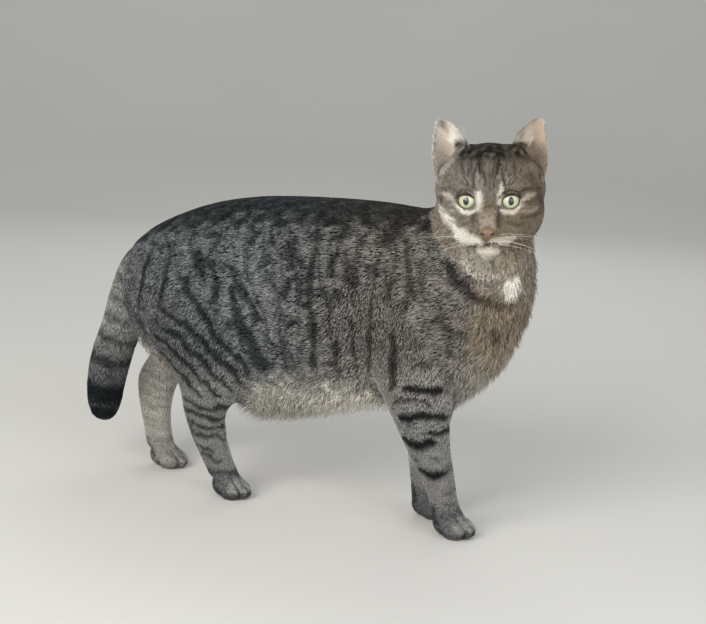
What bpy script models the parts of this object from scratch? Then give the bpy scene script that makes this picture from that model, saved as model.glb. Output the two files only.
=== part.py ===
"""A European shorthair cat at life size, standing with its head turned to its right.

Metres, +Z up, +X the way the body faces and +Y the cat's left. The sizes reach out to the tips of the
short coat. Lofted limbs and round muscle forms are joined by a voxel remesh into one body, the fine
forms of the face and ears are added, and closed cutters then part it into the pieces that a person
would name, with a thin gap between them.
"""

import math
from collections import namedtuple

import bmesh
import bpy
import numpy as np
from mathutils import Euler, Matrix, Vector
from mathutils.bvhtree import BVHTree

# The origin stands on the floor under the middle of the cat's box.
ORIGIN_SHIFT = Vector((-0.0110, -0.0004, 0.0))

GAP = 0.0003
VOXEL = 0.0013
SMOOTHING_ROUNDS = 46
DETAIL_SMOOTHING = 0.30
BODY_TRIANGLES = 6300
DETAIL_DENSITY = 0.0008
DETAIL_TOP_WEIGHT = 0.9
SOLE_CUT = 0.0016

# Trunk: x, height of the back, height of the belly, half width.
Section = namedtuple("Section", "x top bottom half_width")
TRUNK = (
    Section(-0.196, 0.226, 0.196, 0.014),
    Section(-0.190, 0.238, 0.165, 0.034),
    Section(-0.172, 0.254, 0.140, 0.049),
    Section(-0.140, 0.271, 0.116, 0.059),
    Section(-0.100, 0.285, 0.099, 0.065),
    Section(-0.055, 0.2935, 0.089, 0.069),
    Section(-0.010, 0.2970, 0.092, 0.071),
    Section(0.032, 0.2985, 0.103, 0.070),
    Section(0.072, 0.2985, 0.112, 0.065),
    Section(0.108, 0.2960, 0.114, 0.059),
    Section(0.142, 0.2930, 0.118, 0.054),
    Section(0.172, 0.2890, 0.139, 0.049),
    Section(0.194, 0.2840, 0.168, 0.042),
    Section(0.208, 0.2760, 0.198, 0.031),
    Section(0.2155, 0.2620, 0.226, 0.014),
)
TRUNK_WAIST = 0.46
TRUNK_SQUARENESS = 0.88
RING_POINTS = 28
CUTTER_POINTS = 12
CUTTER_ROWS = 11

# Limbs: centre, half length along the body, half width across it. y is measured out from the middle.
Joint = namedtuple("Joint", "x y z fore side")
LIMBS = {
    "front_right": (
        Joint(0.104, 0.034, 0.226, 0.030, 0.018),
        Joint(0.110, 0.039, 0.196, 0.042, 0.025),
        Joint(0.121, 0.041, 0.160, 0.041, 0.026),
        Joint(0.130, 0.040, 0.132, 0.034, 0.024),
        Joint(0.1345, 0.037, 0.108, 0.0265, 0.0205),
        Joint(0.1410, 0.033, 0.082, 0.0205, 0.0178),
        Joint(0.1490, 0.0275, 0.056, 0.0160, 0.0148),
        Joint(0.1545, 0.0235, 0.034, 0.0134, 0.0130),
        Joint(0.1590, 0.0215, 0.018, 0.0145, 0.0132),
    ),
    "front_left": (
        Joint(0.098, 0.034, 0.226, 0.030, 0.018),
        Joint(0.101, 0.039, 0.196, 0.042, 0.025),
        Joint(0.104, 0.041, 0.160, 0.041, 0.026),
        Joint(0.109, 0.040, 0.132, 0.034, 0.024),
        Joint(0.1120, 0.037, 0.108, 0.0265, 0.0205),
        Joint(0.1130, 0.033, 0.082, 0.0205, 0.0178),
        Joint(0.1140, 0.028, 0.056, 0.0160, 0.0148),
        Joint(0.1165, 0.025, 0.034, 0.0136, 0.0132),
        Joint(0.1200, 0.0230, 0.018, 0.0145, 0.0134),
    ),
    "hind_right": (
        Joint(-0.128, 0.030, 0.238, 0.036, 0.021),
        Joint(-0.116, 0.039, 0.205, 0.055, 0.029),
        Joint(-0.096, 0.045, 0.165, 0.056, 0.030),
        Joint(-0.080, 0.047, 0.134, 0.045, 0.026),
        Joint(-0.081, 0.045, 0.110, 0.032, 0.0225),
        Joint(-0.0895, 0.040, 0.086, 0.0215, 0.0182),
        Joint(-0.0895, 0.035, 0.066, 0.0182, 0.0160),
        Joint(-0.0825, 0.031, 0.042, 0.0158, 0.0138),
        Joint(-0.0725, 0.0280, 0.020, 0.0150, 0.0132),
    ),
    "hind_left": (
        Joint(-0.130, 0.030, 0.236, 0.036, 0.021),
        Joint(-0.130, 0.039, 0.203, 0.053, 0.029),
        Joint(-0.133, 0.045, 0.163, 0.052, 0.029),
        Joint(-0.147, 0.047, 0.134, 0.044, 0.025),
        Joint(-0.172, 0.045, 0.112, 0.034, 0.0205),
        Joint(-0.193, 0.041, 0.090, 0.0240, 0.0165),
        Joint(-0.1950, 0.037, 0.066, 0.0180, 0.0150),
        Joint(-0.1900, 0.033, 0.042, 0.0146, 0.0134),
        Joint(-0.1830, 0.0295, 0.020, 0.0145, 0.0132),
    ),
}

# Tail: centre line and radius, hanging from the rump.
Bone = namedtuple("Bone", "x y z radius")
TAIL = (
    Bone(-0.166, 0.000, 0.228, 0.0210),
    Bone(-0.190, 0.000, 0.212, 0.0205),
    Bone(-0.2030, 0.000, 0.185, 0.0198),
    Bone(-0.2120, -0.001, 0.152, 0.0196),
    Bone(-0.2235, -0.003, 0.117, 0.0200),
    Bone(-0.2295, -0.004, 0.087, 0.0188),
    Bone(-0.2310, -0.004, 0.066, 0.0165),
    Bone(-0.2310, -0.004, 0.052, 0.0105),
    Bone(-0.2310, -0.004, 0.048, 0.0030),
)
TAIL_ROOT_BONE = 1
TAIL_CUT_BONES = (3, 5)
TAIL_MARGIN = 0.006

# Neck, from inside the chest up to the head.
NECK = (
    Bone(0.105, 0.000, 0.232, 0.0540),
    Bone(0.140, -0.001, 0.249, 0.0525),
    Bone(0.166, -0.004, 0.270, 0.0475),
    Bone(0.1760, -0.008, 0.292, 0.0420),
    Bone(0.1790, -0.010, 0.308, 0.0370),
)

# Head: its own frame has x towards the nose, y to the cat's left, z up, and z 0 level with the pupils.
HEAD_PLACE = Vector((0.1786, -0.0123, 0.3140))
HEAD_TURN = math.radians(-72.5)
HEAD_ROLL = math.radians(3.0)
Form = namedtuple("Form", "centre half mirrored pitch", defaults=(0.0,))
HEAD_FORMS = (
    Form((-0.0080, 0.0, 0.0090), (0.0400, 0.0390, 0.0370), False),
    Form((0.0080, 0.0, 0.0160), (0.0235, 0.0280, 0.0250), False),
    Form((0.0000, 0.0270, -0.0130), (0.0260, 0.0210, 0.0270), True),
    Form((-0.0100, 0.0300, 0.0060), (0.0260, 0.0190, 0.0250), True),
    Form((0.0140, 0.0, -0.0200), (0.0290, 0.0245, 0.0215), False),
    Form((0.0225, 0.0, -0.0080), (0.0235, 0.0105, 0.0130), False, 48.0),
    Form((0.0300, 0.0, -0.0130), (0.0215, 0.0100, 0.0085), False, 47.0),
    Form((0.0440, 0.0, -0.0278), (0.0066, 0.0078, 0.0064), False),
    Form((0.0315, 0.0082, -0.0328), (0.0145, 0.0128, 0.0096), True),
    Form((0.0320, 0.0, -0.0402), (0.0140, 0.0130, 0.0092), False),
    Form((0.0160, 0.0175, 0.0110), (0.0135, 0.0150, 0.0110), True),
    Form((0.0215, 0.0090, 0.0090), (0.0105, 0.0090, 0.0125), True),
    Form((0.0190, 0.0180, -0.0240), (0.0165, 0.0140, 0.0140), True),
    Form((0.0130, 0.0220, -0.0140), (0.0160, 0.0165, 0.0130), True),
    Form((-0.0090, 0.0175, 0.0250), (0.0220, 0.0190, 0.0200), True),
    Form((-0.0140, 0.0, -0.0200), (0.0340, 0.0390, 0.0260), False),
    Form((-0.0280, 0.0, -0.0060), (0.0280, 0.0360, 0.0340), False),
)
EYE_CENTRE = Vector((0.0185, 0.0178, -0.0022))
EYE_RADIUS = 0.0104
LID_THICKNESS = 0.0019
EYE_OPENING = (0.0080, 0.0069)
EYE_OUTWARD = math.radians(9.0)
EYE_SLANT = math.radians(8.0)

# Ear: the inner, back and outer points of its root and its tip, in the head's frame.
EAR_INNER = Vector((0.0010, 0.0160, 0.0395))
EAR_BACK = Vector((-0.0245, 0.0330, 0.0240))
EAR_OUTER = Vector((0.0020, 0.0485, 0.0150))
EAR_TIP = Vector((-0.0090, 0.0478, 0.0668))
EAR_THICKNESS = 0.0020
EAR_ROOT_DEPTH = 0.30
EAR_BLUNTNESS = 1.85
EAR_POINT = 0.58
EAR_OUTER_POINT = {1: 0.85, -1: 0.35}
EAR_ROW_CROWDING = 1.8
EAR_ROOT_SPREAD = -0.2
EAR_TOP_RING = 0.985
EAR_TIP_WALL = 5.0
EAR_GRID = (11, 10)

# The groove of the closed mouth on one side, from under the nose to its corner, and the nostril.
MOUTH_LINE = ((0.052, 0.0000, -0.0366), (0.050, 0.0050, -0.0397), (0.045, 0.0110, -0.0406),
              (0.038, 0.0170, -0.0386), (0.030, 0.0215, -0.0346))
PHILTRUM_TOP = (0.052, 0.0, -0.0325)
MOUTH_GROOVE = 0.0009
NOSTRIL_PLACE = (0.055, 0.0034, -0.0286)
NOSTRIL_HALF = (0.0022, 0.0014, 0.0010)

# Feet: middle, turn in degrees, half sizes of the foot's block and of a toe, a toe's reach and spread.
Foot = namedtuple("Foot", "x y turn block toe reach spread")
FEET = {
    "front_right": Foot(0.1610, 0.0205, 4.0, (0.0165, 0.0140, 0.0140), (0.0115, 0.0044, 0.0090), 0.0145, 0.0076),
    "front_left": Foot(0.1225, 0.0220, 4.0, (0.0165, 0.0140, 0.0140), (0.0112, 0.0044, 0.0090), 0.0135, 0.0076),
    "hind_right": Foot(-0.0690, 0.0270, 6.0, (0.0175, 0.0136, 0.0132), (0.0112, 0.0043, 0.0086), 0.0145, 0.0073),
    "hind_left": Foot(-0.1760, 0.0285, 3.0, (0.0175, 0.0136, 0.0132), (0.0112, 0.0043, 0.0086), 0.0145, 0.0073),
}
TOE_PLACES = ((-1.5, -0.42), (-0.5, 0.0), (0.5, 0.0), (1.5, -0.42))
FOOT_CUT = 0.030

# Cutters that part each limb from the trunk: height, middle and half length along x, inner side.
Cut = namedtuple("Cut", "z x half inner")
LIMB_CUTS = {
    "front": (Cut(0.236, -0.022, 0.006, 0.026), Cut(0.230, -0.022, 0.022, 0.022), Cut(0.212, -0.018, 0.038, 0.018),
              Cut(0.180, -0.012, 0.045, 0.016), Cut(0.145, -0.005, 0.042, 0.014), Cut(0.118, -0.002, 0.038, 0.007),
              Cut(0.095, 0.0, 0.036, 0.0015), Cut(-0.01, 0.0, 0.036, 0.0015)),
    "hind": (Cut(0.242, -0.040, 0.008, 0.024), Cut(0.235, -0.038, 0.028, 0.020), Cut(0.215, -0.034, 0.048, 0.017),
             Cut(0.180, -0.016, 0.061, 0.015), Cut(0.145, 0.000, 0.058, 0.013), Cut(0.118, 0.000, 0.050, 0.008),
             Cut(0.095, 0.0, 0.042, 0.0015), Cut(-0.01, 0.0, 0.036, 0.0015)),
}
LIMB_CUT_OUTER = 0.110
LIMB_CUT_TOP = 0.20

# Planes that part head, neck and trunk: a point, and the direction towards the head.
HEAD_PLANE = ((-0.0120, 0.0, -0.0260), (0.70, 0.0, 0.71))
NECK_PLANE = ((0.170, 0.0, 0.262), (0.67, -0.10, 0.74))
CUTTER_SIZE = 1.2

Finish = namedtuple("Finish", "colour roughness metallic")
FINISHES = {
    "coat": Finish((0.115, 0.098, 0.078), 0.85, 0.0),
    "eye": Finish((0.520, 0.560, 0.300), 0.10, 0.0),
}


def smooth_row(rows, count):
    """Carries a smooth curve (Catmull-Rom) through rows of numbers and reads count rows from it."""
    rows = np.array(rows, dtype=float)
    padded = np.vstack([2 * rows[0] - rows[1], rows, 2 * rows[-1] - rows[-2]])
    place = np.linspace(0, len(rows) - 1, count)
    step = np.minimum(place.astype(int), len(rows) - 2)
    t = (place - step)[:, None]
    a, b, c, d = (padded[step + k] for k in range(4))
    return 0.5 * (2 * b + (c - a) * t + (2 * a - 5 * b + 4 * c - d) * t**2 + (3 * b - a - 3 * c + d) * t**3)


def mesh_object(name, vertices, faces):
    """Makes an object of a mesh with these vertices and faces."""
    mesh = bpy.data.meshes.new(name)
    mesh.from_pydata([tuple(v) for v in vertices], [], faces)
    mesh.update()
    thing = bpy.data.objects.new(name, mesh)
    bpy.context.scene.collection.objects.link(thing)
    return thing


def loft(name, rings):
    """Joins rings of points into a closed solid with flat ends, its faces pointing out."""
    count = len(rings[0])
    vertices = [point for ring in rings for point in ring]
    faces = []
    for row in range(len(rings) - 1):
        for column in range(count):
            following = (column + 1) % count
            low, high = row * count, (row + 1) * count
            faces.append((low + column, low + following, high + following, high + column))
    faces.append(tuple(range(count - 1, -1, -1)))
    faces.append(tuple(range((len(rings) - 1) * count, len(rings) * count)))
    thing = mesh_object(name, vertices, faces)
    point_outwards(thing.data)
    return thing


def point_outwards(mesh):
    """Turns the faces of a closed mesh outwards."""
    work = bmesh.new()
    work.from_mesh(mesh)
    bmesh.ops.recalc_face_normals(work, faces=work.faces[:])
    work.to_mesh(mesh)
    work.free()


def ellipsoid(name, half, matrix, segments=28, rings=18):
    """Makes a round form with these half sizes, placed by a matrix."""
    work = bmesh.new()
    bmesh.ops.create_uvsphere(work, u_segments=segments, v_segments=rings, radius=1.0)
    bmesh.ops.transform(work, matrix=matrix @ Matrix.Diagonal((*half, 1.0)), verts=work.verts[:])
    mesh = bpy.data.meshes.new(name)
    work.to_mesh(mesh)
    work.free()
    thing = bpy.data.objects.new(name, mesh)
    bpy.context.scene.collection.objects.link(thing)
    return thing


def superellipse(count, power):
    """Reads points of a unit superellipse: a circle at power 1, squarer below it."""
    angle = np.linspace(0, 2 * math.pi, count, endpoint=False)
    across, upward = np.cos(angle), np.sin(angle)
    return np.sign(across) * np.abs(across) ** power, np.sign(upward) * np.abs(upward) ** power


def trunk():
    """Lofts the trunk along x, its widest part lying a little under the middle of its height."""
    across, upward = superellipse(RING_POINTS, TRUNK_SQUARENESS)
    rings = []
    for x, top, bottom, half_width in smooth_row(TRUNK, 3 * len(TRUNK)):
        middle = bottom + TRUNK_WAIST * (top - bottom)
        height = np.where(upward > 0, (top - middle) * upward, (middle - bottom) * upward)
        rings.append([(x, half_width * a, middle + h) for a, h in zip(across, height)])
    return loft("trunk_form", rings)


def limb(name, joints, side):
    """Lofts one leg from level ovals, down from the shoulder or hip to the foot."""
    across, along = superellipse(RING_POINTS, 1.0)
    rings = []
    for x, y, z, fore, half in smooth_row(joints, 3 * len(joints)):
        rings.append([(x + fore * a, side * (y + half * b), z) for a, b in zip(along, across)])
    return loft(name, rings)


def tube_rings(bones, count, margin=0.0, points=RING_POINTS):
    """Carries circles along a smooth curve through the bones, each square to the curve."""
    rows = smooth_row(bones, count)
    centres, radii = rows[:, :3], rows[:, 3] + margin
    run = np.gradient(centres, axis=0)
    run /= np.linalg.norm(run, axis=1)[:, None]
    side = np.array((0.0, 1.0, 0.0))
    across, upward = superellipse(points, 1.0)
    rings = []
    for centre, direction, radius in zip(centres, run, radii):
        second = side - direction * (side @ direction)
        second /= np.linalg.norm(second)
        third = np.cross(direction, second)
        rings.append([tuple(centre + radius * (a * second + b * third)) for a, b in zip(across, upward)])
    return rings, centres, run


def head_matrix():
    """Gives the place and turn of the head's frame."""
    return Matrix.Translation(HEAD_PLACE) @ Euler((0, 0, HEAD_TURN)).to_matrix().to_4x4() @ Matrix.Rotation(
        HEAD_ROLL, 4, "X")


def head_forms():
    """Makes the round forms of skull, cheeks, muzzle, chin, brows and lids."""
    frame = head_matrix()
    things = []
    for number, form in enumerate(HEAD_FORMS):
        for side in (1, -1) if form.mirrored else (1,):
            x, y, z = form.centre
            tilt = Matrix.Rotation(math.radians(form.pitch), 4, "Y")
            place = frame @ Matrix.Translation((x, side * y, z)) @ tilt
            things.append(ellipsoid(f"head_form_{number}_{side}", form.half, place))
    for side in (1, -1):
        radius = EYE_RADIUS + LID_THICKNESS
        place = frame @ Matrix.Translation((EYE_CENTRE.x, side * EYE_CENTRE.y, EYE_CENTRE.z))
        things.append(ellipsoid(f"lid_form_{side}", (radius,) * 3, place))
    return things


def foot_forms(name, side):
    """Makes one foot: a low block, and four toes in a shallow arc before it."""
    foot = FEET[name]
    frame = Matrix.Translation((foot.x, side * foot.y, 0)) @ Matrix.Rotation(side * math.radians(foot.turn), 4, "Z")
    things = []
    block_place = frame @ Matrix.Translation((0, 0, foot.block[2] - SOLE_CUT))
    things.append(ellipsoid(f"{name}_block", foot.block, block_place))
    for spread, back in TOE_PLACES:
        along = foot.reach * (1 + back)
        place = frame @ Matrix.Translation((along, spread * foot.spread, foot.toe[2] - SOLE_CUT))
        things.append(ellipsoid(f"{name}_toe_{spread}", foot.toe, place))
    return things


def evaluated_mesh(thing):
    """Gives a new mesh of the object with its modifiers carried out."""
    graph = bpy.context.evaluated_depsgraph_get()
    return bpy.data.meshes.new_from_object(thing.evaluated_get(graph))


def apply_modifiers(thing):
    """Replaces the object's mesh by what its modifiers make of it."""
    mesh = evaluated_mesh(thing)
    thing.modifiers.clear()
    thing.data = mesh


def join(name, things):
    """Gathers the meshes of several objects into one, and removes those objects."""
    work = bmesh.new()
    for thing in things:
        work.from_mesh(thing.data)
        bpy.data.objects.remove(thing)
    mesh = bpy.data.meshes.new(name)
    work.to_mesh(mesh)
    work.free()
    joined = bpy.data.objects.new(name, mesh)
    bpy.context.scene.collection.objects.link(joined)
    return joined


def detail_weight(points):
    """Says where fine form lies: 1 on the face and the feet, falling to 0 on the body."""
    inverse = np.array(head_matrix().inverted())
    local = points @ inverse[:3, :3].T + inverse[:3, 3]
    face = np.clip((local[:, 0] + 0.010) / 0.012, 0, 1) * np.clip((local[:, 2] + 0.060) / 0.010, 0, 1)
    face *= np.clip((0.075 - np.linalg.norm(local, axis=1)) / 0.010, 0, 1)
    feet = np.clip((0.034 - points[:, 2]) / 0.012, 0, 1)
    return np.maximum(face, feet)


def weigh(thing, name, weights):
    """Stores a weight for each vertex in a vertex group, in steps of a twentieth."""
    group = thing.vertex_groups.new(name=name)
    steps = np.round(weights * 20).astype(int)
    for step in np.unique(steps):
        group.add(np.nonzero(steps == step)[0].tolist(), step / 20, "REPLACE")


def mesh_points(mesh):
    """Reads a mesh's vertices as an array."""
    points = np.empty(len(mesh.vertices) * 3)
    mesh.vertices.foreach_get("co", points)
    return points.reshape(-1, 3)


def whole_body():
    """Joins every form into one smooth closed body with its fine faces on the head and feet."""
    forms = [trunk(), loft("neck_form", tube_rings(NECK, 16)[0]), loft("tail_form", tube_rings(TAIL, 34)[0])]
    for name, joints in LIMBS.items():
        side = -1 if name.endswith("right") else 1
        forms.append(limb(f"{name}_form", joints, side))
        forms.extend(foot_forms(name, side))
    forms.extend(head_forms())
    body = join("body", forms)
    remesh = body.modifiers.new("Remesh", "REMESH")
    remesh.mode = "VOXEL"
    remesh.voxel_size = VOXEL
    apply_modifiers(body)
    fine = detail_weight(mesh_points(body.data))
    weigh(body, "soft", 1 - (1 - DETAIL_SMOOTHING) * fine)
    smooth = body.modifiers.new("Smooth", "SMOOTH")
    smooth.iterations = SMOOTHING_ROUNDS
    smooth.factor = 0.5
    smooth.vertex_group = "soft"
    apply_modifiers(body)
    keep_largest(body)
    weigh(body, "fine", DETAIL_TOP_WEIGHT * detail_weight(mesh_points(body.data)))
    thin = body.modifiers.new("Decimate", "DECIMATE")
    thin.ratio = BODY_TRIANGLES / sum(len(face.vertices) - 2 for face in body.data.polygons)
    thin.vertex_group = "fine"
    thin.invert_vertex_group = True
    thin.vertex_group_factor = DETAIL_DENSITY
    apply_modifiers(body)
    body.vertex_groups.clear()
    return body


def keep_largest(thing):
    """Leaves only the closed surface of the object with the largest volume."""
    work = bmesh.new()
    work.from_mesh(thing.data)
    bmesh.ops.triangulate(work, faces=work.faces[:])
    left, islands = set(work.faces), []
    while left:
        island, edge_of_growth = [], [left.pop()]
        while edge_of_growth:
            face = edge_of_growth.pop()
            island.append(face)
            for edge in face.edges:
                for other in edge.link_faces:
                    if other in left:
                        left.discard(other)
                        edge_of_growth.append(other)
        islands.append(island)
    volumes = [abs(sum(f.verts[0].co.dot(f.verts[1].co.cross(f.verts[2].co)) for f in island)) for island in islands]
    for number, island in enumerate(islands):
        if number != volumes.index(max(volumes)):
            bmesh.ops.delete(work, geom=island, context="FACES")
    work.to_mesh(thing.data)
    work.free()


def combine(thing, cutter, operation, solver="EXACT"):
    """Cuts, fuses or intersects the object with a cutter, which it keeps."""
    boolean = thing.modifiers.new("Boolean", "BOOLEAN")
    boolean.operation = operation
    boolean.solver = solver
    boolean.object = cutter
    apply_modifiers(thing)


def copy_of(thing, name):
    """Copies an object and its mesh."""
    twin = bpy.data.objects.new(name, thing.data.copy())
    bpy.context.scene.collection.objects.link(twin)
    return twin


def remove(*things):
    """Removes objects from the scene."""
    for thing in things:
        bpy.data.objects.remove(thing)


def half_space(name, point, direction, shift):
    """Makes a large block on the side of a plane that the direction points to, moved along it by a shift."""
    direction = Vector(direction).normalized()
    turn = direction.to_track_quat("Z", "Y").to_matrix().to_4x4()
    half = CUTTER_SIZE / 2
    place = Matrix.Translation(Vector(point) + direction * (shift + half)) @ turn
    work = bmesh.new()
    bmesh.ops.create_cube(work, size=CUTTER_SIZE)
    bmesh.ops.transform(work, matrix=place, verts=work.verts[:])
    mesh = bpy.data.meshes.new(name)
    work.to_mesh(mesh)
    work.free()
    thing = bpy.data.objects.new(name, mesh)
    bpy.context.scene.collection.objects.link(thing)
    return thing


def limb_cutter(name, grown):
    """Lofts the space of one leg from rounded level blocks, out from its inner side."""
    side = -1 if name.endswith("right") else 1
    joints = smooth_row(LIMBS[name], 60)
    across, along = superellipse(CUTTER_POINTS, 0.55)
    rings = []
    for z, shift, half, inner in smooth_row(LIMB_CUTS[name.split("_")[0]], CUTTER_ROWS):
        x = np.interp(-z, -joints[:, 2], joints[:, 0]) + shift
        low, high = inner - grown, LIMB_CUT_OUTER
        middle, width = (low + high) / 2, (high - low) / 2
        lifted = z + (grown if z > LIMB_CUT_TOP else 0.0)
        rings.append([(x + (half + grown) * a, side * (middle + width * b), lifted) for a, b in zip(along, across)])
    return loft(f"{name}_cutter", rings)



def tail_cutter(grown):
    """Makes the space round the tail, from its root plane to past its tip."""
    bones = [Bone(b.x, b.y, b.z, b.radius + TAIL_MARGIN) for b in TAIL[TAIL_ROOT_BONE:]]
    rings, centres, run = tube_rings(bones, CUTTER_ROWS, grown, CUTTER_POINTS)
    rings[0] = [tuple(np.array(p) - run[0] * grown) for p in rings[0]]
    end = centres[-1] + run[-1] * 0.03
    rings.append([tuple(end + 0.4 * (np.array(p) - centres[-1]) * 5) for p in rings[-1]])
    return loft("tail_cutter", rings)


def surface_tree(thing):
    """Builds a search tree over the object's faces."""
    work = bmesh.new()
    work.from_mesh(thing.data)
    tree = BVHTree.FromBMesh(work)
    work.free()
    return tree


def face_point(tree, local, inwards=Vector((-1.0, 0.0, 0.0))):
    """Drops a point of the head's frame back onto the face, along the head's length."""
    frame = head_matrix()
    start = frame @ (Vector(local) - 0.05 * inwards)
    hit = tree.ray_cast(start, (frame.to_3x3() @ inwards).normalized())[0]
    return hit if hit is not None else frame @ Vector(local)


def groove(name, points, radius):
    """Makes a thin closed tube along points, to cut a line into a surface."""
    rows = smooth_row([tuple(p) for p in points], 4 * len(points))
    run = np.gradient(rows, axis=0)
    run /= np.linalg.norm(run, axis=1)[:, None]
    rings = []
    for centre, direction in zip(rows, run):
        helper = np.array((0.0, 0.0, 1.0)) if abs(direction[2]) < 0.8 else np.array((1.0, 0.0, 0.0))
        second = np.cross(direction, helper)
        second /= np.linalg.norm(second)
        third = np.cross(direction, second)
        angles = np.linspace(0, 2 * math.pi, 6, endpoint=False)
        rings.append([tuple(centre + radius * (math.cos(t) * second + math.sin(t) * third)) for t in angles])
    return loft(name, rings)


def carve_face(head):
    """Cuts the sockets with their lid openings, the line of the mouth and the nostrils into the head."""
    frame = head_matrix()
    tree = surface_tree(head)
    cutters = []
    for side in (1, -1):
        cutters.append(ellipsoid("socket", (EYE_RADIUS + GAP,) * 3, eye_matrix(side), 16, 10))
        opening = Matrix.Translation((EYE_RADIUS, 0, 0)) @ Matrix.Rotation(side * EYE_SLANT, 4, "X")
        cutters.append(ellipsoid("opening", (0.008, EYE_OPENING[0], EYE_OPENING[1]), eye_matrix(side) @ opening, 20, 8))
        points = [face_point(tree, (x, side * y, z)) for x, y, z in MOUTH_LINE]
        cutters.append(groove("mouth", points, MOUTH_GROOVE))
        x, y, z = NOSTRIL_PLACE
        place = Matrix.Translation(face_point(tree, (x, side * y, z))) @ frame.to_3x3().to_4x4()
        cutters.append(ellipsoid("nostril", NOSTRIL_HALF, place, 10, 6))
    middle = [face_point(tree, PHILTRUM_TOP), face_point(tree, MOUTH_LINE[0])]
    cutters.append(groove("philtrum", [middle[0], (middle[0] + middle[1]) / 2, middle[1]], MOUTH_GROOVE * 0.7))
    for cutter in cutters:
        combine(head, cutter, "DIFFERENCE")
    remove(*cutters)


def eye_matrix(side):
    """Gives the place of an eye and the turn of its gaze."""
    place = Matrix.Translation((EYE_CENTRE.x, side * EYE_CENTRE.y, EYE_CENTRE.z))
    return head_matrix() @ place @ Matrix.Rotation(side * EYE_OUTWARD, 4, "Z")


def ear(side):
    """Lofts one ear from crescents: a cupped shell, open to the front, that narrows to its tip."""
    columns, rows = EAR_GRID
    u = np.linspace(0, 1, columns)[:, None]
    inner, back, outer = (np.array(p) for p in (EAR_INNER, EAR_BACK, EAR_OUTER))
    control = 2 * back - 0.5 * (inner + outer)
    root = (1 - u) ** 2 * inner + 2 * u * (1 - u) * control + u**2 * outer
    centre, tip = (inner + outer) / 2, np.array(EAR_TIP)
    wall = EAR_THICKNESS * (0.45 + 0.55 * np.sin(math.pi * u))
    frame = np.array(head_matrix())
    rings = []
    steps = 1 - (1 - np.linspace(0, 1, rows)) ** EAR_ROW_CROWDING
    for rise in -EAR_ROOT_DEPTH + (EAR_TOP_RING + EAR_ROOT_DEPTH) * steps:
        power = EAR_POINT + EAR_OUTER_POINT[side] * u**2
        width = (1 - rise**EAR_BLUNTNESS) ** power if rise > 0 else (1 - EAR_ROOT_SPREAD * rise) + 0 * u
        outside = centre + (tip - centre) * rise + (root - centre) * width
        hollow = centre + (tip - centre) * rise - outside
        hollow /= np.linalg.norm(hollow, axis=1)[:, None]
        inside = outside + hollow * np.minimum(wall, EAR_TIP_WALL * width * EAR_THICKNESS)
        ring = np.concatenate([outside, inside[::-1]]) * (1, side, 1)
        rings.append([tuple(p) for p in ring @ frame[:3, :3].T + frame[:3, 3]])
    return loft("ear", rings)


def grown_copy(thing, name, amount):
    """Copies a closed object with its surface moved out by a small amount."""
    twin = copy_of(thing, name)
    swell = twin.modifiers.new("Displace", "DISPLACE")
    swell.strength = amount
    swell.mid_level = 0.0
    apply_modifiers(twin)
    return twin


def piece(body, name, *steps):
    """Copies the body, carries out cuts given as (operation, cutter), and keeps the largest solid."""
    part = copy_of(body, name)
    for operation, cutter in steps:
        combine(part, cutter, operation)
    keep_largest(part)
    return part


def in_head_frame(point, direction):
    """Brings a point and a direction of the head's frame to the cat's frame."""
    frame = head_matrix()
    return frame @ Vector(point), frame.to_3x3() @ Vector(direction)


def part_body(body):
    """Parts the body into head, neck, torso, legs, paws and the lengths of the tail."""
    head_point, head_way = in_head_frame(*HEAD_PLANE)
    front = half_space("front", *NECK_PLANE, GAP / 2)
    rear = half_space("rear", NECK_PLANE[0], -Vector(NECK_PLANE[1]), GAP / 2)
    face_side = half_space("face_side", head_point, head_way, GAP / 2)
    neck_side = half_space("neck_side", head_point, -head_way, GAP / 2)
    above_foot = half_space("above_foot", (0, 0, FOOT_CUT), (0, 0, 1), GAP / 2)
    below_foot = half_space("below_foot", (0, 0, FOOT_CUT), (0, 0, -1), GAP / 2)
    cutters = [front, rear, face_side, neck_side, above_foot, below_foot]
    tail_space, tail_room = tail_cutter(0.0), tail_cutter(GAP)
    cutters += [tail_space, tail_room]
    parts = {
        "head": piece(body, "head", ("INTERSECT", front), ("INTERSECT", face_side)),
        "neck": piece(body, "neck", ("INTERSECT", front), ("INTERSECT", neck_side)),
    }
    rooms = []
    for name in LIMBS:
        space = limb_cutter(name, 0.0)
        rooms.append(limb_cutter(name, GAP))
        leg = piece(body, f"leg_{name}", ("INTERSECT", space), ("DIFFERENCE", tail_room))
        parts[f"paw_{name}"] = piece(leg, f"paw_{name}", ("INTERSECT", below_foot))
        combine(leg, above_foot, "INTERSECT")
        keep_largest(leg)
        parts[f"leg_{name}"] = leg
        cutters.append(space)
    cuts = [("INTERSECT", rear), ("DIFFERENCE", tail_room)] + [("DIFFERENCE", room) for room in rooms]
    parts["torso"] = piece(body, "torso", *cuts)
    tail = piece(body, "tail", ("INTERSECT", tail_space))
    parts.update(cut_tail(tail))
    remove(tail, *cutters, *rooms)
    return parts


def cut_tail(tail):
    """Divides the tail into three lengths, square to its run."""
    bones = np.array(TAIL)[:, :3]
    run = np.gradient(bones, axis=0)
    above, below = (lambda b, g: half_space("above", bones[b], -run[b], g)), (
        lambda b, g: half_space("below", bones[b], run[b], g))
    upper, lower = TAIL_CUT_BONES
    planes = {
        "tail_base": [above(upper, GAP / 2)],
        "tail_middle": [below(upper, GAP / 2), above(lower, GAP / 2)],
        "tail_tip": [below(lower, GAP / 2)],
    }
    lengths = {}
    for name, halves in planes.items():
        lengths[name] = piece(tail, name, *[("INTERSECT", half) for half in halves])
        remove(*halves)
    return lengths


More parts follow.
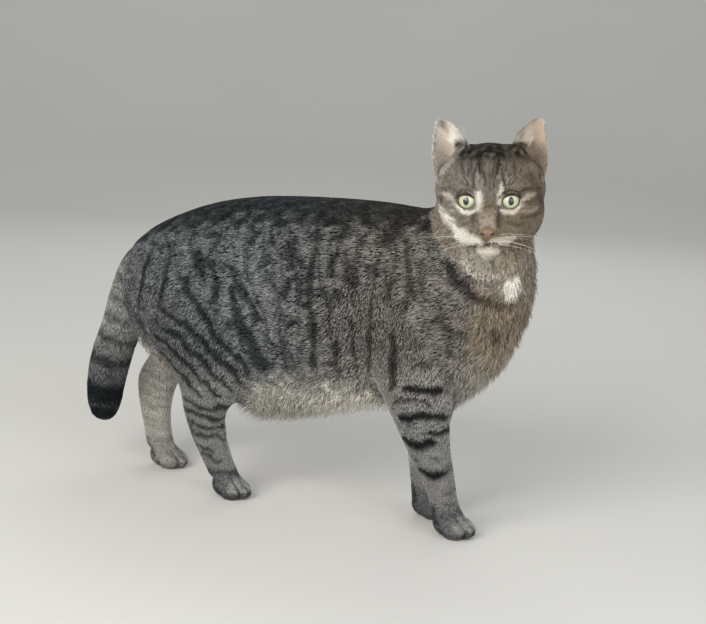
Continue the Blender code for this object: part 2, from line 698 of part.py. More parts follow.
def material(name, finish):
    """Makes a Principled material with a colour, roughness and metallic value."""
    made = bpy.data.materials.new(name)
    made.use_nodes = True
    shader = made.node_tree.nodes["Principled BSDF"]
    shader.inputs["Base Color"].default_value = (*finish.colour, 1.0)
    shader.inputs["Roughness"].default_value = finish.roughness
    shader.inputs["Metallic"].default_value = finish.metallic
    return made


def main():
    """Builds the cat and leaves each named piece as an object of its own."""
    for thing in list(bpy.data.objects):
        bpy.data.objects.remove(thing)
    body = whole_body()
    floor = half_space("floor", (0, 0, 0), (0, 0, -1), 0.0)
    combine(body, floor, "DIFFERENCE")
    shell = grown_copy(body, "shell", GAP)
    parts = part_body(body)
    for side, word in ((1, "left"), (-1, "right")):
        parts[f"ear_{word}"] = piece(ear(side), f"ear_{word}", ("DIFFERENCE", shell))
        parts[f"eye_{word}"] = ellipsoid(f"eye_{word}", (EYE_RADIUS,) * 3, eye_matrix(side), 16, 10)
    carve_face(parts["head"])
    keep_largest(parts["head"])
    for thing in list(bpy.data.objects):
        if thing.name not in parts:
            bpy.data.objects.remove(thing)
    for name, thing in parts.items():
        thing.name = name
        thing.data.materials.clear()
        thing.data.materials.append(material(name, FINISHES["eye" if name.startswith("eye") else "coat"]))
        thing.data.transform(Matrix.Translation(-ORIGIN_SHIFT))
        thing.data.shade_smooth()


main()
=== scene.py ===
"""Looks of a life-size model of a European shorthair cat that stands on the floor."""
import logging
import math
from dataclasses import dataclass
from enum import Enum
from functools import partial

import bpy
import numpy as np
from mathutils import Matrix, Vector
from mathutils.bvhtree import BVHTree


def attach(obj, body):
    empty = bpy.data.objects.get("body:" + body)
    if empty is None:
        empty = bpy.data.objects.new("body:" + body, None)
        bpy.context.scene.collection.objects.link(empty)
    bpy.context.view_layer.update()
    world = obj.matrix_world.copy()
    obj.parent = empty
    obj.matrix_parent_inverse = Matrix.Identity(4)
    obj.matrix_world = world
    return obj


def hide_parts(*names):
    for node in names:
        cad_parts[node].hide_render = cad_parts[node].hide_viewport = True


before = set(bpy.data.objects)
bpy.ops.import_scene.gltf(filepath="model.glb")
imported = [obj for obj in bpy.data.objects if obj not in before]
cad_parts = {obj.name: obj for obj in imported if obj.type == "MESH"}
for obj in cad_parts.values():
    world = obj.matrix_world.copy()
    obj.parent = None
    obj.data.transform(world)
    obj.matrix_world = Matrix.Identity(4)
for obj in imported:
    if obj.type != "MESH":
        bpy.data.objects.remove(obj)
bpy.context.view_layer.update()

LOG = logging.getLogger("cat")
BODY = "root"
MM = 0.001
LEFT, RIGHT = 1, -1
SIDE_NAME = {LEFT: "left", RIGHT: "right"}


class Region(Enum):
    """The forms of the cat that the coat is planned by."""

    TORSO = "torso"
    NECK = "neck"
    HEAD = "head"
    EAR = "ear"
    FORELEG = "leg_front"
    HIND_LEG = "leg_hind"
    PAW = "paw"
    TAIL = "tail"


FLESH_NODES: tuple[str, ...] = tuple(sorted(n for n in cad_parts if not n.startswith("eye")))
NODE_REGION: dict[str, Region] = {
    name: next(region for region in Region if name.startswith(region.value)) for name in FLESH_NODES
}


def linear(code: str, alpha: float = 1.0) -> tuple[float, float, float, float]:
    """Turns an sRGB hex colour into linear values.

    Args:
        code: Six hex digits, with or without a leading mark.
        alpha: The fourth value.

    Returns:
        Linear red, green, blue and alpha.
    """
    digits = code.lstrip("#")
    values = [int(digits[i:i + 2], 16) / 255 for i in (0, 2, 4)]
    red, green, blue = (v / 12.92 if v <= 0.04045 else ((v + 0.055) / 1.055) ** 2.4 for v in values)
    return red, green, blue, alpha


def unit(rows: np.ndarray) -> np.ndarray:
    """Gives each row the length one."""
    return rows / np.maximum(np.linalg.norm(rows, axis=-1, keepdims=True), 1e-12)


def rise(low: float, high: float, values: np.ndarray) -> np.ndarray:
    """Goes smoothly from 0 at low to 1 at high, as 3 t squared less 2 t cubed."""
    t = np.clip((values - low) / (high - low), 0, 1)
    return t * t * (3 - 2 * t)


def wobble(points: np.ndarray, wavelength: float, seed: int) -> np.ndarray:
    """Gives smooth noise: fourteen sine waves of one rough wavelength in random directions, summed.

    Args:
        points: Places, one per row.
        wavelength: Rough distance from crest to crest, in metres.
        seed: Names the set of waves.

    Returns:
        One value per place, about 0 with a spread of about 1.
    """
    rng = np.random.default_rng(seed)
    waves = unit(rng.normal(size=(14, 3))) * rng.uniform(0.6, 1.7, (14, 1)) * (2 * math.pi / wavelength)
    return np.sin(points @ waves.T + rng.uniform(0, 2 * math.pi, 14)).sum(1) / math.sqrt(7)


@dataclass(frozen=True)
class HeadFrame:
    """The head's own axes: x towards the nose, y to the cat's left, z up, and z 0 at the pupils."""

    place: tuple[float, float, float] = (0.1896, -0.0119, 0.3140)
    turn: float = math.radians(-72.5)
    roll: float = math.radians(3.0)

    def matrix(self) -> Matrix:
        """Gives the matrix from the head's axes to the cat's."""
        return (Matrix.Translation(self.place) @ Matrix.Rotation(self.turn, 4, "Z")
                @ Matrix.Rotation(self.roll, 4, "X"))

    def outward(self, points: np.ndarray) -> np.ndarray:
        """Turns places in the head's axes into places on the cat."""
        m = np.array(self.matrix())
        return points @ m[:3, :3].T + m[:3, 3]

    def inward(self, points: np.ndarray) -> np.ndarray:
        """Turns places on the cat into places in the head's axes."""
        m = np.array(self.matrix())
        return (points - m[:3, 3]) @ m[:3, :3]

    def direction(self, vectors: np.ndarray) -> np.ndarray:
        """Turns directions in the head's axes into directions on the cat."""
        return vectors @ np.array(self.matrix())[:3, :3].T

    def direction_inward(self, vectors: np.ndarray) -> np.ndarray:
        """Turns directions on the cat into directions in the head's axes."""
        return vectors @ np.array(self.matrix())[:3, :3]


HEAD = HeadFrame()
EYE_RADIUS = 10.4 * MM
EYE_OUTWARD = math.radians(9.0)
NOSE_TIP = np.array([0.0500, 0.0, -0.0278])


def eye_centre(side: int) -> np.ndarray:
    """Gives the middle of one eye in the head's axes."""
    return np.array([0.0185, 0.0178 * side, -0.0022])


def eye_gap(points: np.ndarray) -> np.ndarray:
    """Gives the distance from the middle of the nearer eye for places in the head's axes."""
    return np.minimum(*(np.linalg.norm(points - eye_centre(side), axis=1) for side in (LEFT, RIGHT)))


class Surface:
    """A triangle mesh held as arrays, with its normals and edges."""

    def __init__(self, points: np.ndarray, triangles: np.ndarray) -> None:
        """Keeps the arrays and works out edges and normals.

        Args:
            points: Vertices, one per row.
            triangles: Vertex numbers, three to a row.
        """
        self.points = points
        self.triangles = triangles
        pairs = np.concatenate([triangles[:, [0, 1]], triangles[:, [1, 2]], triangles[:, [2, 0]]])
        pairs = np.sort(pairs, axis=1).astype(np.int64)
        keys = np.unique(pairs[:, 0] * len(points) + pairs[:, 1])
        self.edges = np.stack([keys // len(points), keys % len(points)], axis=1)
        self.valence = np.bincount(self.edges.ravel(), minlength=len(points)).clip(1)
        self.update()

    def update(self) -> None:
        """Works out face areas and vertex normals: the sum of each vertex's face normals by area."""
        a, b, c = (self.points[self.triangles[:, i]] for i in range(3))
        cross = np.cross(b - a, c - a)
        self.areas = np.linalg.norm(cross, axis=1) / 2
        total = np.zeros_like(self.points)
        for corner in range(3):
            for axis in range(3):
                total[:, axis] += np.bincount(self.triangles[:, corner], cross[:, axis], len(self.points))
        self.normals = unit(total)

    def blur(self, values: np.ndarray, rounds: int, share: float = 0.5) -> np.ndarray:
        """Moves each vertex's value towards the mean of its neighbours.

        Args:
            values: One value or one row per vertex.
            rounds: How many times.
            share: How far it moves each time; a negative share sharpens.

        Returns:
            The blurred values.
        """
        result = values.astype(float).reshape(len(values), -1).copy()
        first, second = self.edges[:, 0], self.edges[:, 1]
        for _ in range(rounds):
            for column in range(result.shape[1]):
                v = result[:, column]
                total = np.bincount(first, v[second], len(v)) + np.bincount(second, v[first], len(v))
                result[:, column] = v + share * (total / self.valence - v)
        return result.reshape(values.shape)

    def smooth(self, rounds: int) -> None:
        """Evens the shape without shrinking it: a step in and a slightly longer step out each round."""
        for _ in range(rounds):
            self.points = self.blur(self.blur(self.points, 1, 0.5), 1, -0.52)
        self.update()

    def tree(self) -> BVHTree:
        """Gives a search tree of the triangles."""
        return BVHTree.FromPolygons(self.points.tolist(), self.triangles.tolist())


def mesh_arrays(mesh: bpy.types.Mesh) -> tuple[np.ndarray, np.ndarray]:
    """Reads a mesh as arrays.

    Args:
        mesh: The mesh.

    Returns:
        Its vertices and its triangles, one per row.
    """
    mesh.calc_loop_triangles()
    points = np.empty(len(mesh.vertices) * 3, np.float32)
    mesh.vertices.foreach_get("co", points)
    triangles = np.empty(len(mesh.loop_triangles) * 3, np.int32)
    mesh.loop_triangles.foreach_get("vertices", triangles)
    return points.reshape(-1, 3).astype(float), triangles.reshape(-1, 3)


def mesh_object(name: str, points: np.ndarray, faces: np.ndarray, smooth: bool = True) -> bpy.types.Object:
    """Makes an object at the origin from arrays.

    Args:
        name: The piece's name.
        points: Vertices, one per row.
        faces: Vertex numbers, three or four to a row.
        smooth: Whether its faces are shaded smoothly.

    Returns:
        The new object, in the scene.
    """
    corners = faces.shape[1]
    mesh = bpy.data.meshes.new(name)
    mesh.vertices.add(len(points))
    mesh.vertices.foreach_set("co", points.astype(np.float32).ravel())
    mesh.loops.add(faces.size)
    mesh.loops.foreach_set("vertex_index", faces.astype(np.int32).ravel())
    mesh.polygons.add(len(faces))
    mesh.polygons.foreach_set("loop_start", np.arange(0, faces.size, corners, dtype=np.int32))
    mesh.polygons.foreach_set("use_smooth", np.full(len(faces), smooth))
    mesh.update(calc_edges=True)
    mesh.validate()
    result = bpy.data.objects.new(name, mesh)
    bpy.context.scene.collection.objects.link(result)
    return result


def set_colours(piece: bpy.types.Object, name: str, rows: np.ndarray) -> None:
    """Stores four values for each vertex of a piece under a name that its material reads."""
    attribute = piece.data.attributes.new(name, "FLOAT_COLOR", "POINT")
    attribute.data.foreach_set("color", rows.astype(np.float32).ravel())


def set_bake_places(piece: bpy.types.Object, places: np.ndarray, faces: np.ndarray) -> None:
    """Stores the place of each vertex on the bake's picture, once for every corner of a face."""
    layer = piece.data.uv_layers.new(name="OFBake")
    layer.data.foreach_set("uv", places[faces.ravel()].astype(np.float32).ravel())


def after_modifiers(piece: bpy.types.Object) -> bpy.types.Mesh:
    """Gives a new mesh of the piece as its modifiers leave it."""
    graph = bpy.context.evaluated_depsgraph_get()
    return bpy.data.meshes.new_from_object(piece.evaluated_get(graph))


@dataclass
class Flesh:
    """The outer form, which the tips of the coat reach: the nodes of flesh made one closed surface."""

    voxel: float = 1.62 * MM
    quick_voxel: float = 2.4 * MM
    smoothing: int = 4
    triangles: int = 190000
    head_middle: tuple[float, float, float] = (0.008, 0.0, 0.008)
    head_radius: float = 0.062
    enlarged: float = 1.6
    groove_depth: float = 1.9 * MM
    groove_half: float = 1.5 * MM

    def joined(self) -> tuple[np.ndarray, np.ndarray, np.ndarray]:
        """Puts merged copies of the nodes into one set of arrays.

        Returns:
            Vertices, triangles, and the number of each triangle's node.
        """
        points, triangles, owners, count = [], [], [], 0
        for number, name in enumerate(FLESH_NODES):
            p, t = mesh_arrays(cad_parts[name].data)
            _, first, back = np.unique(np.round(p, 6), axis=0, return_index=True, return_inverse=True)
            p, t = p[first], back.ravel()[t]
            t = t[(t[:, 0] != t[:, 1]) & (t[:, 1] != t[:, 2]) & (t[:, 2] != t[:, 0])]
            points.append(p)
            triangles.append(t + count)
            owners.append(np.full(len(t), number))
            count += len(p)
        return np.concatenate(points), np.concatenate(triangles), np.concatenate(owners)

    def spread(self, points: np.ndarray, back: bool = False) -> np.ndarray:
        """Enlarges the head about its middle, so that an even grid is finer there, or takes that back.

        A distance r becomes k r up to R, and r + (k - 1) R past it, so that the rest is only moved aside.

        Args:
            points: Places on the cat, one per row.
            back: Whether to take the change back.

        Returns:
            The moved places.
        """
        middle = HEAD.outward(np.array([self.head_middle]))
        away = points - middle
        r = np.linalg.norm(away, axis=1, keepdims=True)
        k, edge = self.enlarged, self.head_radius
        if back:
            wanted = np.where(r < k * edge, r / k, r - (k - 1) * edge)
        else:
            wanted = np.where(r < edge, k * r, r + (k - 1) * edge)
        return middle + away * wanted / np.maximum(r, 1e-9)

    def build(self) -> tuple[Surface, np.ndarray]:
        """Remeshes the joined nodes on a grid that is finer at the head, evens and thins them, and carves
        the grooves between the toes.

        Returns:
            The surface, and the number of the node that each vertex belongs to.
        """
        points, triangles, owners = self.joined()
        source = mesh_object("flesh_source", self.spread(points), triangles)
        remesh = source.modifiers.new("grid", "REMESH")
        remesh.mode = "VOXEL"
        remesh.voxel_size = self.voxel
        even = Surface(*mesh_arrays(after_modifiers(source)))
        even.smooth(self.smoothing)
        fine = mesh_object("flesh_fine", self.spread(even.points, back=True), even.triangles)
        thin = fine.modifiers.new("thin", "DECIMATE")
        thin.ratio = min(1.0, self.triangles / len(even.triangles))
        result = Surface(*mesh_arrays(after_modifiers(fine)))
        LOG.info("remesh gave %d triangles", len(even.triangles))
        for scratch in (source, fine):
            bpy.data.objects.remove(scratch)
        tree = BVHTree.FromPolygons(points.tolist(), triangles.tolist())
        nearest = np.array([tree.find_nearest(p)[2] for p in result.points.tolist()])
        grooves = self.groove_depth * toe_grooves(result.points, self.groove_half)
        return Surface(result.points - result.normals * grooves[:, None], result.triangles), owners[nearest]


@dataclass(frozen=True)
class Foot:
    """One foot: x and y of its middle, turn in degrees, and reach and distance apart of its toes."""

    x: float
    y: float
    turn: float
    reach: float
    apart: float


FEET = (Foot(0.1720, -0.0201, -4.0, 0.0145, 0.0076), Foot(0.1335, 0.0224, 4.0, 0.0135, 0.0076),
        Foot(-0.0580, -0.0266, -6.0, 0.0145, 0.0073), Foot(-0.1650, 0.0289, 3.0, 0.0145, 0.0073))


def toe_grooves(points: np.ndarray, half: float) -> np.ndarray:
    """Gives each point's share of the nearest groove between two toes.

    Args:
        points: Places in metres.
        half: Half width of a groove; the share is exp(-(g / half)^2) for a distance g across the foot.

    Returns:
        One share per place, 0 off the toes.
    """
    share = np.zeros(len(points))
    for foot in FEET:
        c, k = math.cos(math.radians(foot.turn)), math.sin(math.radians(foot.turn))
        dx, dy = points[:, 0] - foot.x, points[:, 1] - foot.y
        along, across = c * dx + k * dy, c * dy - k * dx
        gap = np.minimum(np.abs(across), np.abs(np.abs(across) - foot.apart))
        on_foot = rise(foot.reach * 0.35, foot.reach * 0.95, along) * rise(0.026, 0.017, points[:, 2])
        on_foot *= (along < 0.05) & (np.abs(across) < 2.2 * foot.apart)
        share = np.maximum(share, np.exp(-(gap / half) ** 2) * on_foot)
    return share


@dataclass(frozen=True)
class CoatPlan:
    """The coat of one form, in millimetres, with its spread in radians and its lie as a direction."""

    depth: float
    length: float
    width: float
    lift: float
    spread: float
    lie: tuple[float, float, float] = (0.0, 0.0, 0.0)


COAT_PLANS: dict[Region, CoatPlan] = {
    Region.TORSO: CoatPlan(3.0, 8.6, 0.95, 0.25, 0.11, (-1.0, 0.0, -0.30)),
    Region.NECK: CoatPlan(3.4, 9.5, 0.95, 0.45, 0.18, (-0.60, 0.0, -0.80)),
    Region.HEAD: CoatPlan(1.7, 5.0, 0.65, 0.20, 0.13),
    Region.EAR: CoatPlan(0.3, 2.8, 0.45, 0.06, 0.12, (0.0, 0.0, 1.0)),
    Region.FORELEG: CoatPlan(2.2, 6.0, 0.80, 0.22, 0.13, (-0.30, 0.0, -0.95)),
    Region.HIND_LEG: CoatPlan(2.3, 6.4, 0.80, 0.22, 0.13, (-0.55, 0.0, -0.85)),
    Region.PAW: CoatPlan(0.9, 4.2, 0.65, 0.10, 0.12, (0.85, 0.0, -0.50)),
    Region.TAIL: CoatPlan(3.2, 9.0, 0.95, 0.60, 0.18, (-0.2, 0.0, -1.0)),
}

# What parts of a form add to its coat: longer and looser below, shorter on face and shanks.
AREA_PLANS: dict[str, CoatPlan] = {
    "belly": CoatPlan(1.2, 7.0, 0.0, 1.2, 0.16),
    "chest": CoatPlan(1.4, 5.0, 0.0, 1.6, 0.18),
    "ruff": CoatPlan(1.2, 4.0, 0.0, 1.0, 0.10),
    "face": CoatPlan(-0.9, -2.4, -0.15, -0.15, 0.0),
    "shank": CoatPlan(-0.9, -2.5, -0.15, 0.0, 0.0),
}


class Growth(Enum):
    """Where on its nodes a piece of the coat grows."""

    EVEN = "all over"
    BELLY = "belly"
    CHEST = "chest"
    CUP_EDGE = "edge of the ear's cup"


TAIL_LINE = np.array([(-0.155, 0.0, 0.228), (-0.179, 0.0, 0.212), (-0.192, 0.0, 0.185), (-0.201, 0.0, 0.152),
                      (-0.2125, -0.002, 0.117), (-0.2185, -0.003, 0.087), (-0.2200, -0.003, 0.066),
                      (-0.2200, -0.003, 0.048)])


def along_line(points: np.ndarray, line: np.ndarray) -> tuple[np.ndarray, np.ndarray, np.ndarray]:
    """Finds where each point is nearest to a line of straight steps.

    Args:
        points: Places, one per row.
        line: The line's corners, one per row.

    Returns:
        The distance to the line, the length along it, and the line's direction there.
    """
    best = np.full(len(points), np.inf)
    length = np.zeros(len(points))
    direction = np.zeros((len(points), 3))
    start = 0.0
    for a, b in zip(line[:-1], line[1:]):
        step = b - a
        size = float(np.linalg.norm(step))
        t = np.clip((points - a) @ step / max(size, 1e-9) ** 2, 0, 1)
        gap = np.linalg.norm(points - a - t[:, None] * step, axis=1)
        closer = gap < best
        best[closer] = gap[closer]
        length[closer] = start + t[closer] * size
        direction[closer] = step / max(size, 1e-9)
        start += size
    return best, length, direction


@dataclass(frozen=True)
class Stroke:
    """One dark or pale mark: points on the cat, half width, strength and how soft its edge is.

    Distance along the level direction `through` is left out, since a mark runs over the form at whatever
    depth the form has there.
    """

    line: tuple[tuple[float, float, float], ...]
    half: float
    strength: float = 1.0
    soft: float = 0.55
    through: tuple[float, float] = (0.0, 0.0)

    def cover(self, points: np.ndarray) -> np.ndarray:
        """Gives how far the mark covers each point: full in the middle, fading over its edge.

        Args:
            points: Places on the cat, one per row.

        Returns:
            One share per place; the mark is narrower towards both of its ends.
        """
        way = np.array([*self.through, 0.0])
        line = np.array(self.line)
        line = line - (line @ way)[:, None] * way
        points = points - (points @ way)[:, None] * way
        far = 3 * self.half
        near = np.all((points > line.min(0) - far) & (points < line.max(0) + far), axis=1)
        result = np.zeros(len(points))
        if near.any():
            gap, length, _ = along_line(points[near], line)
            total = np.linalg.norm(np.diff(line, axis=0), axis=1).sum()
            taper = 0.65 + 0.35 * np.sin(math.pi * np.clip(length / max(total, 1e-9), 0.02, 0.98))
            faded = rise(1.02 - self.soft, 1.02 + self.soft, gap / (self.half * taper))
            result[near] = self.strength * (1 - faded)
        return result


FROM_THE_SIDE = (0.0, 1.0)
FROM_THE_CHEST = (-0.416, 0.909)
Rows = tuple[tuple[float, ...], ...]


def side_strokes(rows: Rows, wider: float = 1.0, soft: float = 0.55) -> tuple[Stroke, ...]:
    """Makes marks that are placed as they look straight from the side.

    Args:
        rows: Half width in millimetres, strength, and the x and height of each point in millimetres.
        wider: Factor on the half widths.
        soft: How soft their edges are.

    Returns:
        The marks.
    """
    return tuple(Stroke(tuple((x * MM, 0.0, z * MM) for x, z in zip(row[2::2], row[3::2])),
                        wider * row[0] * MM, row[1], soft, FROM_THE_SIDE) for row in rows)


# Dark marks of the right flank and thigh: the bold ones first, then the thin ones between them.
FLANK_STROKES = side_strokes((
    (6, 0.75, 108, 291, 109, 277, 106, 266), (2.2, 0.6, 102, 260, 104, 231), (2.4, 0.6, 112, 252, 116, 219),
    (4.4, 0.6, 125, 187, 128, 163, 127, 141), (3.2, 0.8, 64, 290, 66, 271, 63, 254, 62, 234),
    (3.4, 0.85, 37, 280, 44, 257, 43, 235, 47, 212, 49, 185, 48, 166, 46, 145),
    (5.2, 0.8, 43, 239, 44, 230), (2.8, 0.65, 74, 256, 81, 229), (4.2, 0.45, 69, 224, 70, 211),
    (3.6, 0.6, 70, 180, 71, 147), (5.2, 0.7, 48, 159, 47, 150), (3.6, 0.8, -8, 277, -2, 260),
    (6.2, 0.75, 18, 259, 22, 242), (4.2, 0.5, -4, 249, -2, 242), (4, 0.8, 24, 229, 19, 213),
    (5.6, 0.85, -79, 240, -75, 224), (3.6, 0.85, -60, 236, -53, 203), (4, 0.75, -89, 216, -87, 206),
    (3.2, 0.6, -35, 217, -32, 204), (3.6, 0.85, -93, 215, -70, 190, -53, 168, -32, 151, -18, 136),
    (3.4, 0.7, -47, 237, -28, 218, -14, 201, -3, 187), (5.6, 0.85, -37, 213, -29, 190, -18, 171, 2, 146),
    (9, 0.75, -15, 157, -4, 142), (3, 0.85, -112, 186, -83, 175, -61, 158, -42, 141, -28, 124),
    (2.8, 0.8, -117, 173, -90, 163, -68, 147, -51, 131, -40, 115),
    (2.8, 0.8, -120, 160, -98, 150, -77, 135, -61, 120, -51, 107),
    (2.8, 0.75, -129, 141, -102, 133, -82, 120, -69, 107), (2.2, 0.55, 78, 281, 84, 251, 84, 216),
    (2.4, 0.45, -29, 267, -25, 239, -25, 214), (2.4, 0.5, 64, 214, 66, 182),
    (2.6, 0.5, 102, 218, 102, 181, 99, 152), (2.8, 0.55, 15, 200, 20, 168, 22, 144),
    (3.4, 0.6, -59, 269, -63, 246), (3.4, 0.6, -113, 245, -111, 214, -113, 195),
    (3.2, 0.6, -138, 240, -140, 210, -146, 180), (2.4, 0.5, 85, 198, 87, 170, 86, 146),
    (2.2, 0.45, 35, 211, 35, 179, 35, 155), (3.2, 0.55, 126, 272, 134, 242, 133, 211),
    (2.6, 0.5, 143, 255, 149, 222), (3, 0.5, 163, 223, 169, 197, 174, 174)))

# Dark marks of chest and neck on the right: half width, strength, and x, y and height of each point.
CHEST_STROKES = tuple(
    Stroke(tuple((x * MM, y * MM, z * MM) for x, y, z in zip(row[2::3], row[3::3], row[4::3])),
           row[0] * MM, row[1], through=FROM_THE_CHEST)
    for row in (
        (3.6, 1, 168, -51, 255, 175, -48, 242, 187, -46, 231, 197, -44, 226, 210, -38, 222,
         218.5, -32, 222.5),
        (4, 0.6, 192, -46, 259, 191, -44, 250), (4.4, 0.55, 175, -50, 262, 179, -50, 257),
        (3, 0.8, 208, -34, 195, 207, -32, 189), (2.2, 0.45, 155, -50, 205, 168, -50, 200, 185, -42, 190)))

WHITE_SPOT = Stroke(((0.2185, -0.028, 0.232), (0.2200, -0.028, 0.238)), 0.0100, through=FROM_THE_CHEST)

# Dark marks of the right foreleg, from the elbow to the toes and down its heel.
FORELEG_STROKES = side_strokes((
    (2.0, 0.75, 145, 162, 162, 166, 174, 160, 186, 157), (1.7, 0.8, 128, 126, 140, 132, 148, 133, 162, 129),
    (3.6, 1.0, 139, 141, 153, 144, 164, 141, 172, 146, 182, 141), (3.8, 1.0, 133, 112, 153, 120, 170, 117),
    (1.3, 0.8, 138, 108, 150, 111), (2.5, 0.95, 158, 101, 171, 103, 180, 102),
    (4.2, 1.0, 135, 92, 152, 87, 163, 92), (1.4, 0.7, 160, 79, 170, 75), (1.4, 0.55, 139, 72, 150, 73),
    (4.2, 1.0, 149, 63, 160, 60, 171, 63), (3.4, 0.75, 148, 36, 147, 18, 154, 5),
    (1.2, 0.55, 169, 42, 178, 45), (1.2, 0.5, 167, 32, 179, 33), (1.5, 0.6, 174, 88, 180, 92),
    (1.4, 0.5, 172, 68, 177, 72)), wider=1.15, soft=0.62)

# Dark marks of the right hind leg from the knee down, the last one along its back to the heel.
HIND_STROKES = side_strokes((
    (2.2, 0.85, -90, 101, -78, 97, -62, 91, -50, 95), (2.2, 0.85, -92, 90, -76, 86, -60, 79, -50, 81),
    (2.0, 0.85, -92, 79, -78, 73, -59, 70), (1.9, 0.80, -90, 68, -73, 62, -58, 60),
    (1.8, 0.75, -84, 52, -65, 47), (1.6, 0.7, -78, 44, -60, 38), (1.2, 0.6, -68, 27, -53, 28, -45, 21),
    (3.0, 0.70, -91, 78, -87, 50, -81, 22, -66, 5)), wider=1.15, soft=0.62)


@dataclass(frozen=True)
class FaceMark:
    """A mark of the face, in millimetres: half width, and points across and up from between the eyes."""

    line: tuple[tuple[float, float], ...]
    half: float
    strength: float
    side: int = 0

    def cover(self, across_up: np.ndarray) -> np.ndarray:
        """Gives how far the mark covers each point of the face.

        Args:
            across_up: Each point's distances across and up from the middle of the eyes, in metres.

        Returns:
            One share per point. A mark with no side stands on both, mirrored.
        """
        line = tuple((0.0, y * MM, z * MM) for y, z in self.line)
        stroke = Stroke(line, self.half * MM, self.strength, soft=0.90)
        sides = (LEFT, RIGHT) if self.side == 0 else (self.side,)
        flat = np.concatenate([np.zeros((len(across_up), 1)), across_up], axis=1)
        return np.max([stroke.cover(flat * np.array([1, k, 1])) for k in sides], axis=0)


# Brow lines, crown stripes, lines from the eyes over the cheeks, sides of the nose, and the mouth, then a
# wide band of painted shade down the left edge of the face.
FACE_DARK: tuple[FaceMark, ...] = (
    FaceMark(((13.0, 9), (12.6, 17), (10.5, 27)), 1.7, 0.70),
    FaceMark(((3.6, 10), (4.2, 21), (5.0, 36)), 1.4, 0.70),
    FaceMark(((0.0, 6), (0.4, 14), (0.0, 22)), 1.2, 0.45),
    FaceMark(((7.0, 22), (8.0, 32), (8.5, 44)), 2.4, 0.90),
    FaceMark(((15.0, 24), (15.5, 40)), 1.8, 0.70),
    FaceMark(((18, 12), (22, 20), (23, 34)), 1.8, 0.60),
    FaceMark(((27, 5), (34, 8), (44, 8)), 1.6, 0.35, RIGHT),
    FaceMark(((27, 5), (34, 8), (44, 8)), 1.8, 0.70, LEFT),
    FaceMark(((30, -3), (36, -3), (46, -1)), 1.5, 0.50),
    FaceMark(((27, -16), (34, -16.5), (45, -13)), 1.8, 0.55, LEFT),
    FaceMark(((27, -15), (34, -14.5), (45, -9)), 1.4, 0.40, RIGHT),
    FaceMark(((16, -20), (24, -23), (34, -20)), 1.6, 0.45),
    # The left side of the nose is darker and wider than the right: partly the real mark, partly painted shade
    # on the side turned from the light.
    FaceMark(((9.6, -9), (9.8, -14), (9.2, -22)), 2.5, 0.75, LEFT),
    FaceMark(((10.5, -13), (12.5, -16), (12.0, -20)), 2.2, 0.55, RIGHT),
    # The right upper lid line is weaker than the left: painted light on the lit right side.
    FaceMark(((8.6, 0.4), (11.5, 5.6), (18, 8.0), (25.2, 5.6), (28.5, 0.0)), 1.1, 0.85, LEFT),
    FaceMark(((14.0, 6.8), (20, 7.8), (26.2, 4.6), (29, 0.0)), 1.0, 0.70, RIGHT),
    FaceMark(((-4.0, -38.0), (2.4, -37.3), (8.6, -38.6)), 0.9, 1.00, LEFT),
    FaceMark(((8.0, -38.6), (12, -40.6), (17, -39.4)), 0.7, 0.50),
    # Painted shade: a wide dark band down the left edge of the face, the side turned from the light.
    FaceMark(((34, 18), (42, 6), (46, -8)), 4.5, 0.55, LEFT),
)

FACE_PALE: tuple[FaceMark, ...] = (
    FaceMark(((9.0, 5), (8.8, 1), (8.2, -4), (8.4, -9)), 3.8, 0.85, RIGHT),
    FaceMark(((9.0, 24), (9.4, 16), (9.0, 9)), 2.0, 0.25, RIGHT),
    FaceMark(((10.6, 13), (9.6, 6), (9.6, 0), (9.0, -5)), 2.4, 0.66, LEFT),
    FaceMark(((11.0, -9.8), (16, -11.9), (22, -11.0), (27.5, -6.2)), 2.2, 0.95),
    FaceMark(((27.5, -6.2), (34, 1.2), (40, 3.0)), 2.2, 0.60),
    FaceMark(((30, 0.0), (38, -2.0)), 3.2, 0.45, RIGHT),
    FaceMark(((42, -10), (35, -19), (27, -27), (18, -33), (8, -36)), 4.8, 0.95, RIGHT),
    FaceMark(((28, -31), (20, -35), (8, -36)), 3.8, 0.95, RIGHT),
    FaceMark(((3, -35), (9, -36), (16, -35), (21, -33)), 4.2, 0.80, LEFT),
    FaceMark(((-7, -45), (0, -46.5), (7, -45)), 5.2, 1.0, LEFT),
    FaceMark(((28, -10), (36, -11), (44, -8)), 1.8, 0.35),
    FaceMark(((44, 19), (38, 27), (31, 35), (25, 43)), 3.6, 0.45, RIGHT),
    FaceMark(((44, 19), (38, 27), (31, 35), (25, 43)), 3.0, 0.12, LEFT),
)


# Inside of the ears: the furred edge beside the crown, the fold along the outer edge, and the foot, darkened
# as painted shade.
EAR_DARK: tuple[FaceMark, ...] = (
    FaceMark(((43, 63), (33, 57), (25, 50), (22, 38)), 4.6, 0.66, RIGHT),
    FaceMark(((48.0, 59), (49.5, 48), (49, 36)), 0.9, 0.55, RIGHT),
    FaceMark(((43, 29), (45, 22)), 4.6, 0.26, RIGHT),
    FaceMark(((36, 46), (35, 40)), 1.2, 0.20, RIGHT),
    FaceMark(((38, 66), (29, 59), (22, 50), (18, 40)), 2.8, 0.75, LEFT),
    FaceMark(((31, 31), (36, 22), (40, 16)), 2.6, 0.40, LEFT),
)


@dataclass(frozen=True)
class Band:
    """A dark ring about the tail: length along it from its root, half width and strength."""

    length: float
    half: float
    strength: float


TAIL_BANDS = (Band(0.020, 0.0040, 0.5), Band(0.042, 0.0036, 0.5), Band(0.064, 0.0036, 0.5),
              Band(0.086, 0.0040, 0.55), Band(0.108, 0.0045, 0.7), Band(0.132, 0.0060, 0.85),
              Band(0.168, 0.0130, 1.0), Band(0.190, 0.0090, 1.0))


